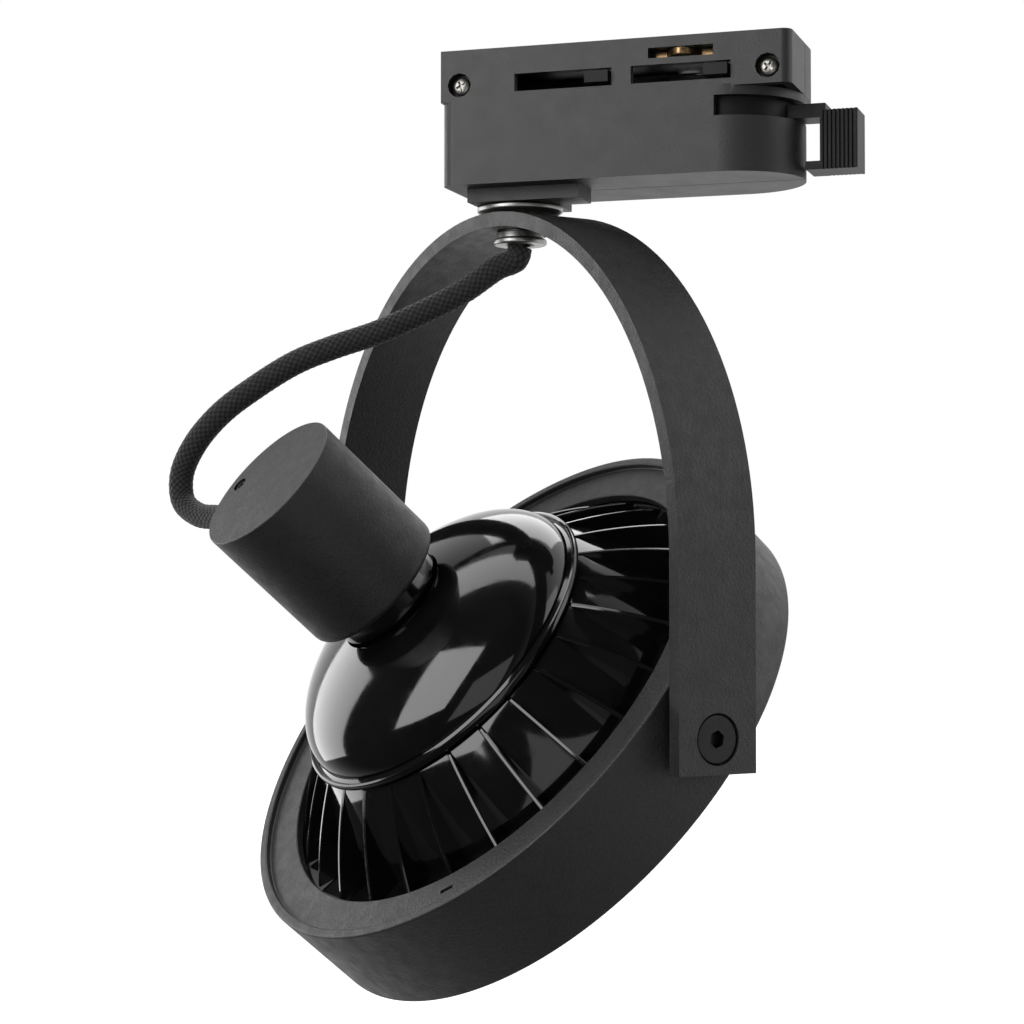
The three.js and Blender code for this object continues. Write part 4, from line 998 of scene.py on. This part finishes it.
def power_cord():
    curve = smooth_route(cord_points(), CORD_SPAN_STEPS)
    stations, length = even_stations(curve, CORD_STEP)
    vertices = []
    side = Vector((0, 1, 0))
    count = len(stations)
    for i, spot in enumerate(stations):
        along = (stations[min(i + 1, count - 1)] - stations[max(i - 1, 0)]).normalized()
        side = (side - along * side.dot(along)).normalized()
        other = along.cross(side)
        run = i * length / (count - 1)
        for k in range(CORD_SIDES):
            turn = 2 * math.pi * k / CORD_SIDES
            weave = math.cos(BRAID_CARRIERS * turn) * math.cos(2 * math.pi * run / BRAID_PITCH)
            radius = CORD_RADIUS - BRAID_RELIEF + BRAID_RELIEF * weave
            vertices.append(spot + (side * math.cos(turn) + other * math.sin(turn)) * radius)
    cord = make("cord", vertices, tube_faces(0, count, CORD_SIDES), YOKE)
    weave = cord.data.uv_layers.new(name="weave")
    for face in cord.data.polygons:
        corners = [divmod(v, CORD_SIDES) for v in face.vertices]
        wraps = max(k for _, k in corners) - min(k for _, k in corners) > 1
        for index, (i, k) in zip(face.loop_indices, corners):
            turn = k + CORD_SIDES if wraps and k == 0 else k
            around = BRAID_CARRIERS * 2 * math.pi * turn / CORD_SIDES
            run = 2 * math.pi * i * length / (count - 1) / BRAID_PITCH
            weave.data[index].uv = (around, run)
    cord.data.shade_smooth()
    cord.data.materials.append(MATERIALS["braid"])
    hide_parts("power_cord")
    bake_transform(cord)


# ---- Turned pieces, screws, contacts and lens ----

def turned_on(node, corners, place, body, slot, segments):
    """A turned piece that stands for a CAD node."""
    piece = lathe(node + "_turned", filleted(corners), place, segments)
    settle(piece)
    place_on(piece, body, slot, node)


def swivel_pieces():
    washer = Extent("swivel_washer", WORLD)
    chamfer = (washer.high - washer.low) * WASHER_CHAMFER_SHARE
    turned_on("swivel_washer", [
        (washer.bore, washer.low, CRISP), (washer.radius - WASHER_FOOT_INSET, washer.low, EASED),
        (washer.radius, washer.low + chamfer, EASED), (washer.radius, washer.high, FINE),
        (washer.bore, washer.high, CRISP),
    ], WORLD, "adapter", "chrome", MEDIUM)
    nut = Extent("cord_outlet_nut", WORLD)
    collar = nut.radius - NUT_COLLAR_INSET
    recess = nut.bore + NUT_RECESS_WIDTH
    flange_top = nut.low + NUT_FLANGE
    turned_on("cord_outlet_nut", [
        (nut.bore, nut.low, EASED), (nut.radius, nut.low, NUT_EDGE),
        (nut.radius, flange_top, EASED), (collar, flange_top + NUT_FLANGE_STEP, CRISP),
        (collar, nut.high, NUT_COLLAR_EDGE), (recess, nut.high, 0),
        (recess, nut.low + NUT_RECESS_FLOOR, 0), (nut.bore, nut.low + NUT_RECESS_FLOOR, 0),
    ], WORLD, "adapter", "chrome", MEDIUM)
    nipple = Extent("hollow_nipple", WORLD)
    turned_on("hollow_nipple", [
        (nipple.bore, nipple.low, KEEN), (nipple.radius, nipple.low, FINE),
        (nipple.radius, nipple.high, EASED), (nipple.bore, nipple.high, EASED),
    ], WORLD, "adapter", "nickel", SMALL)


def cut_cross(screw, size, face, place):
    """Cuts a cross recess below a screw's face."""
    width, thickness, depth = size
    arms = [
        box("arm", (-x, -y, face - depth), (x, y, face + CUT_PAST), place)
        for x, y in ((width / 2, thickness / 2), (thickness / 2, width / 2))
    ]
    cut(screw, arms)


def adapter_screws():
    """Pan heads with a cross recess, whose places come from the CAD screws."""
    for side, spin in SCREW_TURNS.items():
        node = f"adapter_screw_{side}"
        centre = middle(node)
        place = placement(Vector((centre.x, 0, centre.z)), Vector((1, 0, 0)), Vector((0, -1, 0)))
        extent = Extent(node, place)
        face = extent.high
        screw = lathe(f"screw_{side}", filleted([
            (0, extent.low, 0), (SCREW_SHANK, extent.low, FINE),
            (SCREW_SHANK, face - SCREW_HEAD, 0), (extent.radius, face - SCREW_HEAD, KEEN),
            (extent.radius, face - SCREW_HEAD_CROWN, EASED), (SCREW_HEAD_FLAT, face, ROUNDED),
            (0, face, 0),
        ]), place, SMALL)
        cut_cross(screw, ADAPTER_CROSS, face, place @ Matrix.Rotation(spin, 4, "Z"))
        bevel(screw, SCREW_EDGE, 2)
        place_on(screw, "adapter", "nickel", node)


def can_screw():
    node = "can_screw"
    place = can_screw_place()
    extent = Extent(node, place)
    screw = lathe("can_screw_turned", filleted([
        (0, extent.low, 0), (extent.radius, extent.low, KEEN), (extent.radius, extent.high, SOFT),
        (0, extent.high, 0),
    ]), place, SMALL)
    cut_cross(screw, CAN_CROSS, extent.high, place @ Matrix.Rotation(CAN_SCREW_TURN, 4, "Z"))
    bevel(screw, CAN_SCREW_EDGE, 2)
    place_on(screw, "head", "black_steel", node)


def contact_leaves():
    """Spring leaves inside the adapter, each with a short rounded crown that meets the track."""
    for side, node in ((-1, "contact_spring_front"), (1, "contact_spring_rear")):
        centre = middle(node).x / MM
        extent = Extent(node, placement(Vector((centre * MM, 0, 0)), Vector((1, 0, 0)), UP))
        foot = extent.depth - LEAF_CROWN_RISE
        vertices = []
        for i in range(LEAF_STEPS + 1):
            x = -extent.side + 2 * extent.side * i / LEAF_STEPS
            share = min(1, abs(x) / LEAF_CROWN_HALF)
            on_crown = share < 1
            fullness = max(0, math.cos(share * math.pi / 2)) ** LEAF_CROWN_FULLNESS
            out = foot + LEAF_CROWN_RISE * fullness * on_crown
            inset = LEAF_CROWN_INSET * on_crown
            back = out - LEAF_THICKNESS
            section = [
                (back, extent.low), (out, extent.low + inset), (out, extent.high - inset),
                (back, extent.high),
            ]
            vertices += [(centre + x, side * y, z) for y, z in section]
        leaf = make(node + "_leaf", vertices, tube_faces(0, LEAF_STEPS + 1, len(section)), WORLD)
        bevel(leaf, LEAF_EDGE, 2)
        place_on(leaf, "adapter", "brass", node)


def pivot_washers():
    for name, side in (("right", 1), ("left", -1)):
        node = f"pivot_washer_{name}"
        place = sideways(HEAD, side)
        extent = Extent(node, place)
        turned_on(node, [
            (extent.bore, extent.low, KEEN), (extent.radius, extent.low, FINE),
            (extent.radius, extent.high, FINE), (extent.bore, extent.high, KEEN),
        ], place, "head", "rubber", SMALL)


def cord_bushing():
    """The flanged bushing that the cord enters the can through."""
    place = bushing_place()
    extent = Extent("cord_bushing", place)
    shank = extent.radius - BUSHING_SHANK_INSET
    nose = extent.radius - BUSHING_NOSE_INSET
    seat = Extent("socket_can", HEAD).radius - BUSHING_SEAT_DEPTH
    flange = seat + BUSHING_FLANGE
    turned_on("cord_bushing", [
        (extent.bore, extent.low, KEEN), (shank, extent.low, FINE), (shank, seat, 0),
        (extent.radius, seat, CRISP), (extent.radius, flange, FINE),
        (nose, flange + BUSHING_STEP, KEEN), (nose, extent.high, BUSHING_NOSE_EDGE),
        (extent.bore, extent.high, 0),
    ], place, "head", "rubber", SMALL)


def lamp_lens():
    """The front cover: a flat disc with concentric steps on its inner face."""
    extent = Extent("lamp_lens", HEAD)
    stepped = extent.radius * LENS_STEPPED_SHARE
    valley = extent.high - LENS_STEP_DEPTH
    outline = [(0, extent.low), (extent.radius, extent.low), (extent.radius, extent.high)]
    for i in range(LENS_STEPS, 0, -1):
        radius = stepped * i / LENS_STEPS
        outline += [(radius, extent.high), (radius - LENS_STEP_SLOPE, valley)]
    outline.append((0, valley))
    lens = lathe("front_lens", outline, HEAD, ROUND)
    settle(lens)
    place_on(lens, "head", "lens", "lamp_lens")


# ---- Kept CAD nodes ----

KEPT = {
    "nickel": ("nipple_lock_nut", "lamp_pin_a", "lamp_pin_b"),
    "brass": ("holder_contact_a", "holder_contact_b"),
    "black_steel": ("latch_link_bar",),
    "ceramic": ("terminal_block", "lampholder"),
    "board": ("led_board", "lamp_driver_board"),
    "reflector": ("lamp_reflector",),
    "wire_brown": ("lead_live",),
    "wire_blue": ("lead_neutral",),
}


def kept_nodes():
    for material, nodes in KEPT.items():
        for node in nodes:
            mesh = frame["nodes"][node].data
            mesh.materials.clear()
            mesh.materials.append(MATERIALS[material])


# ---- Camera, light and floor ----

def camera():
    data = bpy.data.cameras.new("camera")
    data.lens = LENS
    data.sensor_width = SENSOR_WIDTH
    obj = bpy.data.objects.new("camera", data)
    bpy.context.scene.collection.objects.link(obj)
    obj.location = CAMERA_AT
    obj.rotation_euler = Vector(CAMERA_TOWARDS).to_track_quat("-Z", "Y").to_euler()
    bpy.context.scene.camera = obj


def softboxes(centre):
    for name, place, width, height, watts in SOFTBOXES:
        data = bpy.data.lights.new(name, "AREA")
        data.shape = "RECTANGLE"
        data.size = width
        data.size_y = height
        data.energy = watts
        obj = bpy.data.objects.new(name, data)
        bpy.context.scene.collection.objects.link(obj)
        obj.location = centre + Vector(place)
        obj.rotation_euler = (-Vector(place)).to_track_quat("-Z", "Y").to_euler()


def floor(low):
    material = Nodes("floor", (FLOOR_TONE,) * 3, sum(FLOOR_ROUGHNESS) / 2)
    material.rough(material.noise(size=40, detail=2), *FLOOR_ROUGHNESS)
    material.set(material.shader, "Emission Color", (1, 1, 1, 1))
    material.set(material.shader, "Emission Strength", FLOOR_GLOW)
    radius = FLOOR_RADIUS / MM
    bottom = -FLOOR_THICKNESS / MM
    place = Matrix.Translation((0, 0, low - FLOOR_BELOW))
    obj = lathe("floor", [(0, 0), (radius, 0), (radius, bottom), (0, bottom)], place, SMALL)
    obj.data.materials.append(material.material)
    obj.visible_diffuse = False
    obj.visible_glossy = False


def surroundings():
    """A white room behind the object that darkens towards the front."""
    world = bpy.data.worlds.new("studio")
    world.use_nodes = True
    bpy.context.scene.world = world
    tree = world.node_tree
    shader = tree.nodes["Background"]
    shader.inputs["Color"].default_value = (1, 1, 1, 1)
    coordinates = tree.nodes.new("ShaderNodeTexCoord")
    towards = tree.nodes.new("ShaderNodeVectorMath")
    towards.operation = "DOT_PRODUCT"
    tree.links.new(coordinates.outputs["Generated"], towards.inputs[0])
    towards.inputs[1].default_value = ROOM_AXIS
    depth = tree.nodes.new("ShaderNodeMapRange")
    depth.interpolation_type = "SMOOTHSTEP"
    tree.links.new(towards.outputs["Value"], depth.inputs["Value"])
    depth.inputs["From Min"].default_value = ROOM_DARK_END
    depth.inputs["From Max"].default_value = ROOM_WHITE_END
    depth.inputs["To Min"].default_value = ROOM_DARK
    depth.inputs["To Max"].default_value = ROOM_WHITE
    path = tree.nodes.new("ShaderNodeLightPath")
    mix = tree.nodes.new("ShaderNodeMix")
    tree.links.new(path.outputs["Is Camera Ray"], mix.inputs["Factor"])
    tree.links.new(depth.outputs["Result"], mix.inputs[2])
    mix.inputs[3].default_value = 1.0
    tree.links.new(mix.outputs[0], shader.inputs["Strength"])


def stage():
    low, high = cad_box
    camera()
    softboxes((low + high) / 2)
    floor(low.z)
    surroundings()
    bpy.context.scene.view_settings.view_transform = "Standard"


stage()
power_cord()
adapter()
yoke_strap()
pivot_screws()
ring_housing()
lamp_dome()
fin_edge, bowl_wall = heat_sink_lines()
heat_sink_bowl(fin_edge, bowl_wall)
heat_sink_fins(fin_edge, bowl_wall)
lamp_neck()
lamp_face()
socket_can()
swivel_pieces()
adapter_screws()
can_screw()
contact_leaves()
pivot_washers()
cord_bushing()
lamp_lens()
kept_nodes()
